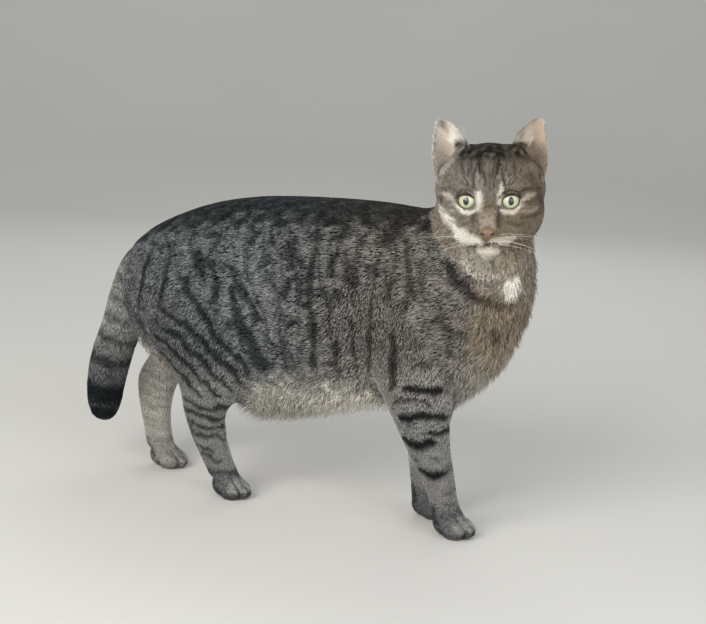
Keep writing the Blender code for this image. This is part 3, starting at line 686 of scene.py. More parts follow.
def rings(length: np.ndarray, bands: tuple[Band, ...]) -> np.ndarray:
    """Gives how far a set of rings covers points at these lengths along the tail.

    Args:
        length: Each point's length along the tail.
        bands: The rings.

    Returns:
        The strongest ring's share at each point.
    """
    return np.max([band.strength * (1 - rise(0.5, 1.6, np.abs(length - band.length) / band.half))
                   for band in bands], axis=0)


def at_places(values: np.ndarray, corners: np.ndarray, shares: np.ndarray) -> np.ndarray:
    """Weighs a value of the vertices by each place's shares of its triangle's three corners."""
    picked = values[corners]
    return (picked * (shares if values.ndim == 1 else shares[:, :, None])).sum(1)


@dataclass
class Places:
    """Places on the outer form, and the shares there of what the markings depend on."""

    points: np.ndarray
    normals: np.ndarray
    regions: dict[Region, np.ndarray]
    far_leg: np.ndarray
    belly: np.ndarray
    chest: np.ndarray
    cup: np.ndarray
    bare: np.ndarray

    def picked(self, corners: np.ndarray, shares: np.ndarray, points: np.ndarray) -> "Places":
        """Gives the same at other points, each inside a triangle.

        Args:
            corners: The vertex numbers of each point's triangle.
            shares: How much each corner counts.
            points: The points themselves.

        Returns:
            The new places.
        """
        at = partial(at_places, corners=corners, shares=shares)
        rest = [at(v) for v in (self.far_leg, self.belly, self.chest, self.cup, self.bare)]
        return Places(points, unit(at(self.normals)), {r: at(v) for r, v in self.regions.items()}, *rest)


@dataclass
class Markings:
    """A tabby's markings at a set of places: the shares of dark, pale and warm hair.

    A mark is the distance to a line of points, and a ring the length along the tail. Their edges are moved
    by smooth noise, so that they break up as banded hair does.
    """

    places: Places
    flank_wave: float = 2.7 * MM
    thigh_wave: float = 1.3 * MM
    streak_wave: float = 0.85 * MM
    fleck_wave: float = 4.5 * MM
    mirrored_by: tuple[float, float, float] = (0.006, 0.0, 0.002)
    fore_step: float = 0.033
    hind_step: float = 0.1076
    darkest: float = 0.88

    def __post_init__(self) -> None:
        """Finds the places in the head's axes, and moves them by noise for the marks' edges."""
        p, self.regions = self.places.points, self.places.regions
        self.in_head = HEAD.inward(p)
        self.shift = MM * np.stack([1.1 * wobble(p, 0.020, 11 + axis) + 0.5 * wobble(p, 0.006, 14 + axis)
                                    for axis in range(3)], axis=1)
        self.moved = p + self.shift
        local = self.in_head + 0.45 * HEAD.direction_inward(self.shift)
        fine = np.stack([wobble(p, 0.0032, 43), wobble(p, 0.0032, 44)], axis=1)
        self.local = local[:, 1:] + 0.35 * MM * fine
        self.back = self.regions[Region.TORSO] + 0.6 * self.regions[Region.NECK]
        self.fleck = rise(0.3, 1.2, wobble(p * np.array([1, 1, 0.45]), self.fleck_wave, 48))

    def flanks(self) -> np.ndarray:
        """Works out the dark marks of flanks, neck and thighs.

        The left side carries the right side's marks, a little moved. Between the marks the flanks have faint
        upright bands, sin((x + 0.3 z) / wave), and the thighs finer slanting ones,
        sin((0.64 x + 0.77 z) / wave), both bent by noise.

        Returns:
            The share of dark at each place.
        """
        p, r = self.places.points, self.regions
        mirrored = self.moved * np.array([1, -1, 1]) + np.array(self.mirrored_by)
        marks = np.max([np.where(p[:, 1] < 0, stroke.cover(self.moved), stroke.cover(mirrored))
                        for stroke in FLANK_STROKES + CHEST_STROKES], axis=0)
        broken = rise(-0.7, 0.6, wobble(p, 0.017, 22))
        bands = np.sin((p[:, 0] + 0.30 * p[:, 2] + 0.006 * wobble(p, 0.045, 23)) / self.flank_wave)
        bands = rise(0.1, 0.9, bands) * (0.25 + 0.35 * broken) * rise(0.16, 0.14, p[:, 0])
        bands = bands * self.back * rise(0.118, 0.160, p[:, 2])
        thigh = np.sin((0.64 * p[:, 0] + 0.77 * p[:, 2] + 0.004 * wobble(p, 0.040, 25)) / self.thigh_wave)
        thigh = 0.17 * rise(0.0, 0.9, thigh) * (0.4 + 0.6 * broken) * rise(-0.045, -0.070, p[:, 0])
        thigh = thigh * (r[Region.TORSO] + r[Region.HIND_LEG]) * rise(0.05, 0.09, p[:, 2])
        dark = np.max([marks, bands, thigh], axis=0)
        return np.clip(dark * 1.4, 0, self.darkest) * (1 - r[Region.HEAD] - r[Region.EAR])

    def back_and_painted_top_shade(self) -> np.ndarray:
        """Gives the dark of the back where the form faces up, partly the tabby's dark back and partly painted
        shade and reflection on its top, and of the dark line along the spine.
        """
        p, up = self.places.points, self.places.normals[:, 2]
        # Where the form faces up, the back is darkened: partly the tabby's dark back, partly painted shade
        # and reflection on the top.
        over = rise(0.42, 0.80, up + 0.08 * wobble(p, 0.018, 21)) * (0.94 + 0.06 * wobble(p, 0.011, 24))
        spine = 0.9 * (1 - rise(0.004, 0.012, np.abs(self.moved[:, 1]))) * (up > 0.3)
        return self.back * np.maximum(over, spine)

    def legs(self) -> np.ndarray:
        """Works out the dark marks of the legs; the left legs' are the right ones', moved back by the step.

        Returns:
            The share of dark at each place.
        """
        p, r = self.places.points, self.regions
        dark = np.zeros(len(p))
        for region, strokes, step, share in ((Region.FORELEG, FORELEG_STROKES, self.fore_step, 0.85),
                                             (Region.HIND_LEG, HIND_STROKES, self.hind_step, 0.40)):
            left = self.moved + np.array([step, 0, 0])
            low = (r[region] + r[Region.PAW]) * rise(0.178, 0.166, p[:, 2])
            for stroke in strokes:
                cover = np.where(p[:, 1] < 0, stroke.cover(self.moved), share * stroke.cover(left))
                dark = np.maximum(dark, cover * low)
        return dark

    def paws(self) -> tuple[np.ndarray, np.ndarray, np.ndarray]:
        """Works out the paws: painted shade in the grooves between the toes and along the rim next to the
        floor, a dark heel and flecks, and pale toes.

        Returns:
            The shares of dark, of pale and of the heel.
        """
        p, paw = self.places.points, self.regions[Region.PAW]
        grooves = toe_grooves(p, 0.8 * MM) * paw
        toes = toe_grooves(p, 20 * MM) * paw * rise(0.006, 0.010, p[:, 2])
        backward = self.places.normals[:, 0] + 0.15 * wobble(p, 0.008, 64)
        heel = paw * rise(-0.15, -0.70, backward) * rise(0.050, 0.036, p[:, 2])
        mottle = paw * rise(0.1, 1.3, wobble(p * np.array([0.6, 1, 1]), 0.0045, 65))
        rim = paw * rise(0.009, 0.004, p[:, 2])
        # The dark of the grooves and of the rim is painted shade, in the creases between the toes and next to
        # the floor.
        dark = np.max([0.85 * grooves, 0.55 * rim, 0.70 * heel, 0.30 * mottle], axis=0)
        return dark, 0.30 * toes * (1 - grooves), heel

    def tail(self) -> np.ndarray:
        """Gives the dark of the tail: its rings, and its lower part."""
        _, length, _ = along_line(self.moved, TAIL_LINE)
        lower = 0.45 * rise(0.16, 0.10, self.places.points[:, 2])
        return self.regions[Region.TAIL] * np.maximum(rings(length, TAIL_BANDS), lower)

    def body(self) -> np.ndarray:
        """Works out all but the head and ears, with the pale underside, inner legs, far leg and white spot.

        Returns:
            Dark, pale and warm, one row each.
        """
        p, r, belly, chest = self.places.points, self.regions, self.places.belly, self.places.chest
        x, y, z = p.T
        edge = 0.005 * wobble(p, 0.020, 61) + 0.002 * wobble(p, 0.006, 62)
        fringe = rise(0.140, 0.116, z + edge) * rise(-0.07, -0.03, x) * rise(0.15, 0.12, x) * r[Region.TORSO]
        spot = np.where((y < 0.01) & (x > 0.15), WHITE_SPOT.cover(self.moved), 0)
        on_paws, toes, heel = self.paws()
        dark = np.max([self.flanks(), self.back_and_painted_top_shade(), self.legs(), self.tail(), on_paws,
                       0.60 * self.fleck * chest], axis=0)
        dark *= 1 - 0.9 * np.maximum(0.7 * fringe, rise(0.45, 0.9, spot))

        legs = r[Region.FORELEG] * rise(0.180, 0.140, z) + r[Region.HIND_LEG] * rise(0.150, 0.100, z)
        limbs = 0.20 * legs + 0.04 * r[Region.PAW] + 0.18 * r[Region.TAIL] * rise(0.07, 0.16, z)
        far_leg = self.places.far_leg * rise(0.16, 0.10, z) * (0.30 + 0.18 * rise(0.02, 0.04, z))
        under = (0.42 + 0.38 * rise(0.0, 0.07, x)) * fringe
        pale = np.max([0.40 * belly + 0.22 * chest, under, limbs, far_leg, toes], axis=0) * (1 - 0.8 * heel)
        inner = rise(0.2, 0.8, -self.places.normals[:, 1] * np.sign(y)) * rise(0.030, 0.060, z)
        pale = np.max([pale, 0.42 * inner * (r[Region.FORELEG] + r[Region.HIND_LEG]), spot], axis=0)

        fore = r[Region.TORSO] + r[Region.FORELEG] * rise(0.10, 0.17, z)
        warm = 0.10 + 0.65 * chest + 0.35 * belly * rise(0.06, 0.0, x) + 0.32 * rise(-0.02, 0.12, x) * fore
        return np.stack([dark, pale, warm + 0.30 * r[Region.NECK] * rise(0.14, 0.19, x)])

    def face(self) -> np.ndarray:
        """Works out the head: the face's marks, the dark crown, streaks down the brow, lids with the painted
        shadow of the upper lid, nose and throat, and a left half warmed as painted shade.

        Returns:
            Dark, pale and warm, one row each.
        """
        p, q, local = self.places.points, self.in_head, self.local
        x, y, z = q.T
        front = rise(-0.030, -0.010, x)
        dark = np.max([mark.cover(local) for mark in FACE_DARK], axis=0) * front
        pale = np.max([mark.cover(local) for mark in FACE_PALE], axis=0) * front
        free = 1 - pale
        crown = 1.1 * rise(0.024, 0.038, z) * free + 0.45 * rise(0.0, -0.030, x) * (z > -0.01)
        crown *= np.clip(0.80 + 0.16 * wobble(p, 0.010, 41), 0.4, 0.95)
        blotches = 0.35 * np.clip(wobble(p, 0.006, 42) - 0.3, 0, 1) * free
        streaks = np.sin(np.abs(local[:, 0]) / self.streak_wave + 1.2 * wobble(p, 0.012, 45))
        streaks = rise(0.1, 0.9, streaks) * rise(0.010, 0.018, z) * front * free
        streaks *= 0.38 + 0.22 * wobble(p, 0.010, 46)
        flecks = 0.55 * self.fleck * rise(-0.030, -0.044, z) * free
        lids = 1 - rise(EYE_RADIUS + 0.6 * MM, EYE_RADIUS + 1.6 * MM, eye_gap(q))
        # The ring is darker over the eye's upper half: partly the dark rims of the lids, partly the painted
        # shadow of the upper lid.
        lid_lines_and_upper_shadow = (0.35 + 0.5 * rise(-0.004, 0.002, z)) * lids
        dark = np.max([dark, crown, blotches, streaks, flecks, lid_lines_and_upper_shadow], axis=0)

        bridge = (1 - rise(0.005, 0.010, np.abs(y))) * (x > 0.02)
        bridge *= rise(0.004, -0.010, z) * rise(-0.036, -0.026, z)
        throat = 0.36 * rise(-0.036, -0.048, z) * rise(0.032, 0.018, np.abs(y)) * (x > 0)
        # Pale is taken off the ring, most over its upper half, for the same painted shadow.
        pale *= 1 - lids * (0.3 + 0.7 * rise(-0.006, 0.0, z))
        pale = np.max([pale, 0.46 * bridge * rise(0.004, -0.022, z), 0.13 * front, throat], axis=0)
        # The last term warms the face towards the cat's left side, so that its pale marks turn buff: painted
        # warm shade on the side turned from the light.
        warm = 0.60 + 0.50 * bridge + 0.20 * rise(0.0, -0.02, z) + 0.36 * rise(-0.012, 0.036, y)
        return np.stack([dark, pale, warm])

    def ears(self, below: np.ndarray) -> np.ndarray:
        """Works out the ears: dark behind, pale in the cup, with a dark fold, and a foot darkened as painted
        shade, most on the left ear, whose cup is also made less pale as painted shade.

        Args:
            below: Dark, pale and warm of what the ears stand on.

        Returns:
            Dark, pale and warm with the ears' own laid over it.
        """
        y, z = self.in_head[:, 1], self.in_head[:, 2]
        ear, cup, left = self.regions[Region.EAR], self.places.cup, y > 0
        out = HEAD.direction_inward(self.places.normals)[:, 1] * np.where(left, 1, -1)
        edge = ear * rise(0.25, 0.70, out)
        foot, outer = rise(0.052, 0.030, z), rise(0.030, 0.040, np.abs(y))
        in_cup = np.max([mark.cover(self.local) for mark in EAR_DARK], axis=0)
        behind = (0.45 + 0.35 * rise(0.050, 0.064, z)) * (1 - cup)
        # Painted shade: the foot of the cup is darker, most on its outer side and on the left ear, which is
        # turned from the light.
        painted_foot_shade = cup * foot * (0.08 + 0.10 * outer + 0.10 * left)
        dark = np.maximum(np.maximum(behind, cup * in_cup) * (1 - 0.85 * edge), painted_foot_shade)
        # The left cup is made less pale, most at its foot: painted shade.
        pale = cup * (1.0 - 0.25 * foot * outer - left * (0.06 + 0.24 * foot))
        warm = 0.35 + cup * (0.35 + 0.60 * left)
        seam = np.stack([below[0] * (1 - 0.85 * edge), below[1] + 0.55 * edge * (1 - cup), below[2]])
        return np.where(ear > 0.5, np.stack([dark, pale, warm]), seam)

    def build(self) -> np.ndarray:
        """Lays the head over the body and the ears over both.

        Returns:
            Dark, pale, warm and bare for each place, from 0 to 1.
        """
        shares = self.ears(np.where(self.regions[Region.HEAD] > 0.5, self.face(), self.body()))
        return np.clip(np.stack([*shares, self.places.bare], axis=1), 0, 1)


@dataclass
class CoatMap:
    """The lie, depth and colour of the coat at each vertex of the outer form, worked out at once."""

    surface: Surface
    owner: np.ndarray
    depth_blur: int = 8
    lie_blur: int = 26

    def __post_init__(self) -> None:
        """Works out lie, sizes, growth and marks, and blurs what has to run on smoothly."""
        s = self.surface
        p, n, q = s.points, s.normals, HEAD.inward(s.points)
        names = np.array([NODE_REGION[name].value for name in FLESH_NODES])[self.owner]
        self.regions = {region: (names == region.value).astype(float) for region in Region}
        soft = {region: s.blur(share, 14) for region, share in self.regions.items()}
        head, ear = soft[Region.HEAD], self.regions[Region.EAR]
        inward_n = HEAD.direction_inward(n)
        side = np.where(q[:, 1] > 0, 1.0, -1.0)
        gap = eye_gap(q)
        nose_gap = np.linalg.norm((q - NOSE_TIP) / np.array([1.0, 1.1, 0.9]), axis=1)

        belly = soft[Region.TORSO] * rise(0.25, 0.80, -n[:, 2])
        chest = rise(0.180, 0.205, p[:, 0]) * (soft[Region.TORSO] + 0.6 * soft[Region.NECK])
        chest *= rise(-0.1, 0.5, n[:, 0])
        ruff = head * rise(0.010, -0.030, q[:, 0]) * rise(0.0, -0.020, q[:, 2])
        face = head * rise(-0.005, 0.018, q[:, 0])
        shank = (soft[Region.FORELEG] + soft[Region.HIND_LEG]) * rise(0.13, 0.07, p[:, 2])
        areas = {"belly": belly, "chest": chest, "ruff": ruff, "face": face, "shank": shank}
        plan = {size: sum(soft[region] * getattr(COAT_PLANS[region], size) for region in Region)
                + sum(share * getattr(AREA_PLANS[area], size) for area, share in areas.items())
                for size in ("depth", "length", "width", "lift", "spread")}

        around_eye = 1 - rise(EYE_RADIUS + 1.5 * MM, EYE_RADIUS + 8 * MM, gap)
        on_nose = 1 - rise(6.0 * MM, 12.0 * MM, nose_gap)
        near_floor = 1 - rise(0.004, 0.012, p[:, 2])
        depth = np.maximum(plan["depth"] * (1 - 0.85 * around_eye), 0.2) * (1 - 0.9 * on_nose)
        depth += 2.0 * (1 - rise(5.6 * MM, 7.2 * MM, nose_gap))
        self.depth = s.blur(depth * (1 - 0.75 * near_floor), self.depth_blur) * MM
        shorter = (1 - 0.45 * around_eye) * (1 - 0.6 * on_nose) * (1 - 0.45 * near_floor)
        self.length, self.width = plan["length"] * shorter * MM, plan["width"] * MM
        self.lift, self.spread = plan["lift"] * MM, plan["spread"]
        self.hug = np.clip(1 - 0.75 * belly - 0.7 * chest - 0.5 * ruff, 0, 1)
        self.ticking = 0.15 + 0.09 * chest + 0.03 * belly + 0.08 * head * rise(-0.030, -0.045, q[:, 2])

        cup = ear * rise(-0.55, -0.20, inward_n[:, 0] * 0.90 + inward_n[:, 1] * side * 0.35)
        socket = 1 - rise(EYE_RADIUS + 0.8 * MM, EYE_RADIUS + 1.8 * MM, gap)
        leather = 1 - rise(5.5 * MM, 7.0 * MM, nose_gap)
        sole = (p[:, 2] < 0.0025) * rise(0.5, 0.8, -n[:, 2])
        density = (1 - socket) * (1 - leather) * (1 - 0.75 * cup) * (1 - sole) * (1 + 0.5 * face)
        cup_edge = cup * rise(0.032, 0.022, np.abs(q[:, 1])) * rise(0.060, 0.040, q[:, 2])
        self.grows = {Growth.EVEN: density, Growth.BELLY: belly, Growth.CHEST: chest,
                      Growth.CUP_EDGE: cup_edge}
        bare = np.clip(leather + 0.9 * sole + 0.85 * socket + 0.35 * cup, 0, 1)
        self.lie = self.lie_field(q, belly, gap)
        far_leg = np.array(["hind_left" in name for name in FLESH_NODES])[self.owner].astype(float)
        self.places = Places(p, n, {region: s.blur(share, 2) for region, share in self.regions.items()},
                             s.blur(far_leg, 4), belly, chest, cup, bare)
        self.marks = s.blur(Markings(self.places).build(), 1)

    def lie_field(self, q: np.ndarray, belly: np.ndarray, gap: np.ndarray) -> np.ndarray:
        """Works out the way the hair points.

        Each form has one direction; the head's points away from the nose and round the eyes, the tail's
        runs along it, and an ear's to its tip. The whole is blurred, so that one runs into the next,
        and laid flat on the skin.

        Args:
            q: The vertices in the head's axes.
            belly: The belly's share of each vertex.
            gap: Each vertex's distance from the middle of the nearer eye.

        Returns:
            A direction for each vertex.
        """
        p, n, r = self.surface.points, self.surface.normals, self.regions
        lie = sum(r[region][:, None] * np.array(COAT_PLANS[region].lie) for region in Region)
        _, _, tail_way = along_line(p, TAIL_LINE)
        lie += r[Region.TAIL][:, None] * (tail_way - np.array(COAT_PLANS[Region.TAIL].lie))
        legs = r[Region.FORELEG] + r[Region.HIND_LEG]
        for share, way in ((r[Region.TORSO] * rise(0.165, 0.215, p[:, 0]), (0.75, 0.0, -0.9)),
                           (r[Region.TORSO] * rise(0.4, 0.9, n[:, 2]), (0.0, 0.0, 0.25)),
                           (belly, (0.45, 0.0, -0.9)), (legs * rise(0.12, 0.05, p[:, 2]), (0.25, 0.0, -0.3))):
            lie += share[:, None] * np.array(way)
        from_nose = unit(q - (NOSE_TIP + np.array([0.004, 0.0, 0.0])))
        from_nose[:, 2] -= 0.25 * rise(0.0, -0.02, q[:, 2])
        for side in (LEFT, RIGHT):
            away = q - eye_centre(side)
            away[:, 0] = 0
            strength = 1.1 * (1 - rise(EYE_RADIUS, EYE_RADIUS + 7 * MM, gap)) * (q[:, 1] * side > 0)
            from_nose += strength[:, None] * unit(away)
        outward = -0.10 * np.where(q[:, 1] > 0, 1, -1)
        ears = np.stack([np.full(len(q), -0.25), outward, np.ones(len(q))], axis=1)
        in_head = r[Region.HEAD][:, None] * from_nose + r[Region.EAR][:, None] * ears
        shown = (r[Region.HEAD] + r[Region.EAR])[:, None]
        lie = self.surface.blur(lie * (1 - shown) + HEAD.direction(in_head), self.lie_blur)
        return unit(lie - n * (lie * n).sum(1, keepdims=True))


def add_node(
    tree: bpy.types.NodeTree, kind: str, inputs: dict | None = None, **settings: object,
) -> bpy.types.Node:
    """Adds a shader node with its settings, and sets or links its inputs.

    Args:
        tree: The material's node tree.
        kind: The node's type.
        inputs: Value, or socket to link from, for each input name or number.
        **settings: Properties of the node itself.

    Returns:
        The new node.
    """
    node = tree.nodes.new(kind)
    for name, value in settings.items():
        setattr(node, name, value)
    for key, value in (inputs or {}).items():
        if isinstance(value, bpy.types.NodeSocket):
            tree.links.new(value, node.inputs[key])
        else:
            node.inputs[key].default_value = value
    return node


def new_material(
    name: str, constants: dict[str, object],
) -> tuple[bpy.types.Material, bpy.types.NodeTree, bpy.types.Node]:
    """Makes a material and sets constants on its shader's sockets.

    Args:
        name: The material's name.
        constants: Value for each socket's name.

    Returns:
        The material, its node tree and its shader.
    """
    material = bpy.data.materials.new(name)
    material.use_nodes = True
    shader = material.node_tree.nodes["Principled BSDF"]
    for socket, value in constants.items():
        shader.inputs[socket].default_value = value
    return material, material.node_tree, shader


@dataclass(frozen=True)
class HairFinish:
    """Short guard hair over wool: hairs banded grey, buff and black, which read as salt and pepper."""

    name: str
    # The greys are cool partly as painted light, the blue cast of window light, and the dark bands'
    # blue-green tint is partly the painted reflection on the top of the back.
    ground_dark: str = "191c1e"
    ground_mid: str = "4f5356"
    ground_light: str = "93989b"
    stripe: str = "060a0c"
    stripe_light: str = "172023"
    cream: str = "fffbf0"
    cream_dark: str = "dcd4c2"
    buff: str = "d6b88f"
    buff_dark: str = "a9875f"
    tan: str = "957a50"
    brown: str = "0f0b06"
    brown_light: str = "32281a"
    bare: str = "b58272"
    bare_dark: str = "8c5a4c"
    roughness: float = 0.70
    shine: float = 0.15
    on_skin: bool = False

    def build(self) -> bpy.types.Material:
        """Makes the material from the marks at each vertex and noise of the size of hairs.

        Returns:
            The material. Its tone runs from 0 at a hair's dark band to 1 at its pale one.
        """
        material, tree, shader = new_material(self.name, {"Roughness": self.roughness, "IOR": 1.55,
                                                          "Specular IOR Level": self.shine})
        node = partial(add_node, tree)
        place = node("ShaderNodeTexCoord").outputs["Object"]
        marks = node("ShaderNodeAttribute", attribute_name="marks")
        dark, pale, warm = node("ShaderNodeSeparateColor", {0: marks.outputs["Color"]}).outputs
        # Ticked hairs stand about 1.1 mm apart, and the whole coat is a little uneven over 12 mm.
        ticking = node("ShaderNodeTexNoise", {"Vector": place, "Scale": 900.0, "Detail": 2.0}).outputs[0]
        patches = node("ShaderNodeTexNoise", {"Vector": place, "Scale": 80.0, "Detail": 3.0}).outputs[0]
        if self.on_skin:
            # Under the coat the tone stops at 0.8, a little darker than the tufts: painted shade in the depth
            # of the coat.
            tone = node("ShaderNodeMapRange", {0: ticking, 1: 0.36, 2: 0.64, 3: 0.0, 4: 0.8}).outputs[0]
        else:
            # Each tuft has a tone of its own, darker at the root and paler past the waist.
            hair = node("ShaderNodeAttribute", attribute_name="hair").outputs["Color"]
            along, chance, _ = node("ShaderNodeSeparateColor", {0: hair}).outputs
            band = node("ShaderNodeMapRange", {0: along, 1: 0.15, 2: 0.65, 3: -0.30, 4: 0.25}).outputs[0]
            tone = node("ShaderNodeMath", {0: chance, 1: band}, operation="ADD", use_clamp=True).outputs[0]
        uneven = node("ShaderNodeMapRange", {0: patches, 1: 0.3, 2: 0.7, 3: -0.12, 4: 0.12}).outputs[0]
        tone = node("ShaderNodeMath", {0: tone, 1: uneven}, operation="ADD", use_clamp=True).outputs[0]
        ground = node("ShaderNodeValToRGB", {0: tone})
        stops = ground.color_ramp.elements
        stops[0].color, stops[1].color = linear(self.ground_dark), linear(self.ground_light)
        stops.new(0.5).color = linear(self.ground_mid)
        tanned = node("ShaderNodeMath", {0: warm, 1: 0.8}, operation="MULTIPLY").outputs[0]
        buffed = node("ShaderNodeMapRange", {0: warm, 1: 0.80, 2: 1.0, 3: 0.0, 4: 0.34}).outputs[0]
        flesh = (("flesh", patches, self.bare_dark, self.bare),
                 ("plain", marks.outputs["Alpha"], "plain", "flesh"))
        # Each row is a mix: its name, its factor, and its two ends, which are hex colours or rows above it.
        known = {"ground": ground.outputs[0]}
        for name, factor, first, second in (
                ("tan", tone, self.ground_dark, self.tan), ("toned", tanned, "ground", "tan"),
                ("cream", tone, self.cream_dark, self.cream), ("buff", tone, self.buff_dark, self.buff),
                ("pale", buffed, "cream", "buff"), ("plain", pale, "toned", "pale"),
                *(flesh if self.on_skin else ()),
                ("black", tone, self.stripe, self.stripe_light),
                ("brown", tone, self.brown, self.brown_light), ("marked", warm, "black", "brown"),
                ("coat", dark, "plain", "marked")):
            low, high = (known[end] if end in known else linear(end) for end in (first, second))
            known[name] = node("ShaderNodeMix", {0: factor, 6: low, 7: high}, data_type="RGBA").outputs[2]
        tree.links.new(known["coat"], shader.inputs["Base Color"])
        if self.on_skin:
            bump = node("ShaderNodeBump", {"Height": ticking, "Strength": 0.5, "Distance": 0.0006})
            tree.links.new(bump.outputs[0], shader.inputs["Normal"])
        return material


@dataclass
class Skin:
    """The one skin under the coat, inside the outer form by the coat's depth."""

    coat: CoatMap
    name: str = "skin"

    def build(self) -> bpy.types.Object:
        """Moves each vertex of the outer form in along its normal by the coat's depth there.

        Returns:
            The piece.
        """
        s = self.coat.surface
        points = s.points - s.normals * self.coat.depth[:, None]
        piece = mesh_object(self.name, points, s.triangles)
        set_colours(piece, "marks", self.coat.marks)
        piece.data.materials.append(HairFinish("wool_and_skin", on_skin=True, shine=0.1).build())
        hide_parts(*FLESH_NODES)
        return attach(piece, BODY)


@dataclass(frozen=True)
class Patch:
    """One piece of the coat: where it grows, how many tufts it has, and how they differ from the plan.

    Longer is a factor on their length, free the share by which their tips leave the outer form, lift a
    height in millimetres, hang a turn downwards, and brush one to either side.
    """

    name: str
    nodes: tuple[str, ...]
    tufts: int
    side: int = 0
    x_from: float = -1.0
    x_to: float = 1.0
    where: Growth = Growth.EVEN
    longer: float = 1.0
    free: float = 0.0
    lift: float = 0.0
    hang: float = 0.0
    brush: float = 0.0


PATCHES: tuple[Patch, ...] = (
    Patch("coat_flank_left_rear", ("torso",), 25000, LEFT, -1.0, 0.02),
    Patch("coat_flank_left_fore", ("torso",), 23000, LEFT, 0.02, 1.0),
    Patch("coat_flank_right_rear", ("torso",), 25000, RIGHT, -1.0, 0.02),
    Patch("coat_flank_right_fore", ("torso",), 23000, RIGHT, 0.02, 1.0),
    Patch("coat_neck", ("neck",), 17000),
    Patch("coat_head_left", ("head",), 25000, LEFT),
    Patch("coat_head_right", ("head",), 25000, RIGHT),
    Patch("coat_ear_left", ("ear_left",), 4200),
    Patch("coat_ear_right", ("ear_right",), 4200),
    Patch("coat_foreleg_left", ("leg_front_left", "paw_front_left"), 13000),
    Patch("coat_foreleg_right", ("leg_front_right", "paw_front_right"), 13000),
    Patch("coat_hind_leg_left", ("leg_hind_left", "paw_hind_left"), 15000),
    Patch("coat_hind_leg_right", ("leg_hind_right", "paw_hind_right"), 15000),
    Patch("coat_tail", ("tail_base", "tail_middle", "tail_tip"), 13000),
    Patch("fringe_belly", ("torso",), 5200, where=Growth.BELLY, longer=1.15, free=1.0, hang=0.9, brush=0.12),
    Patch("ruff_chest", ("torso", "neck"), 3600, where=Growth.CHEST, free=0.7, lift=2.0, hang=0.4,
          brush=0.15),
    *(Patch(f"wisps_{ear}", (ear,), tufts, where=Growth.CUP_EDGE, longer=4.0, free=1.0, lift=1.0, brush=0.2)
      for ear, tufts in (("ear_left", 700), ("ear_right", 900))),
)


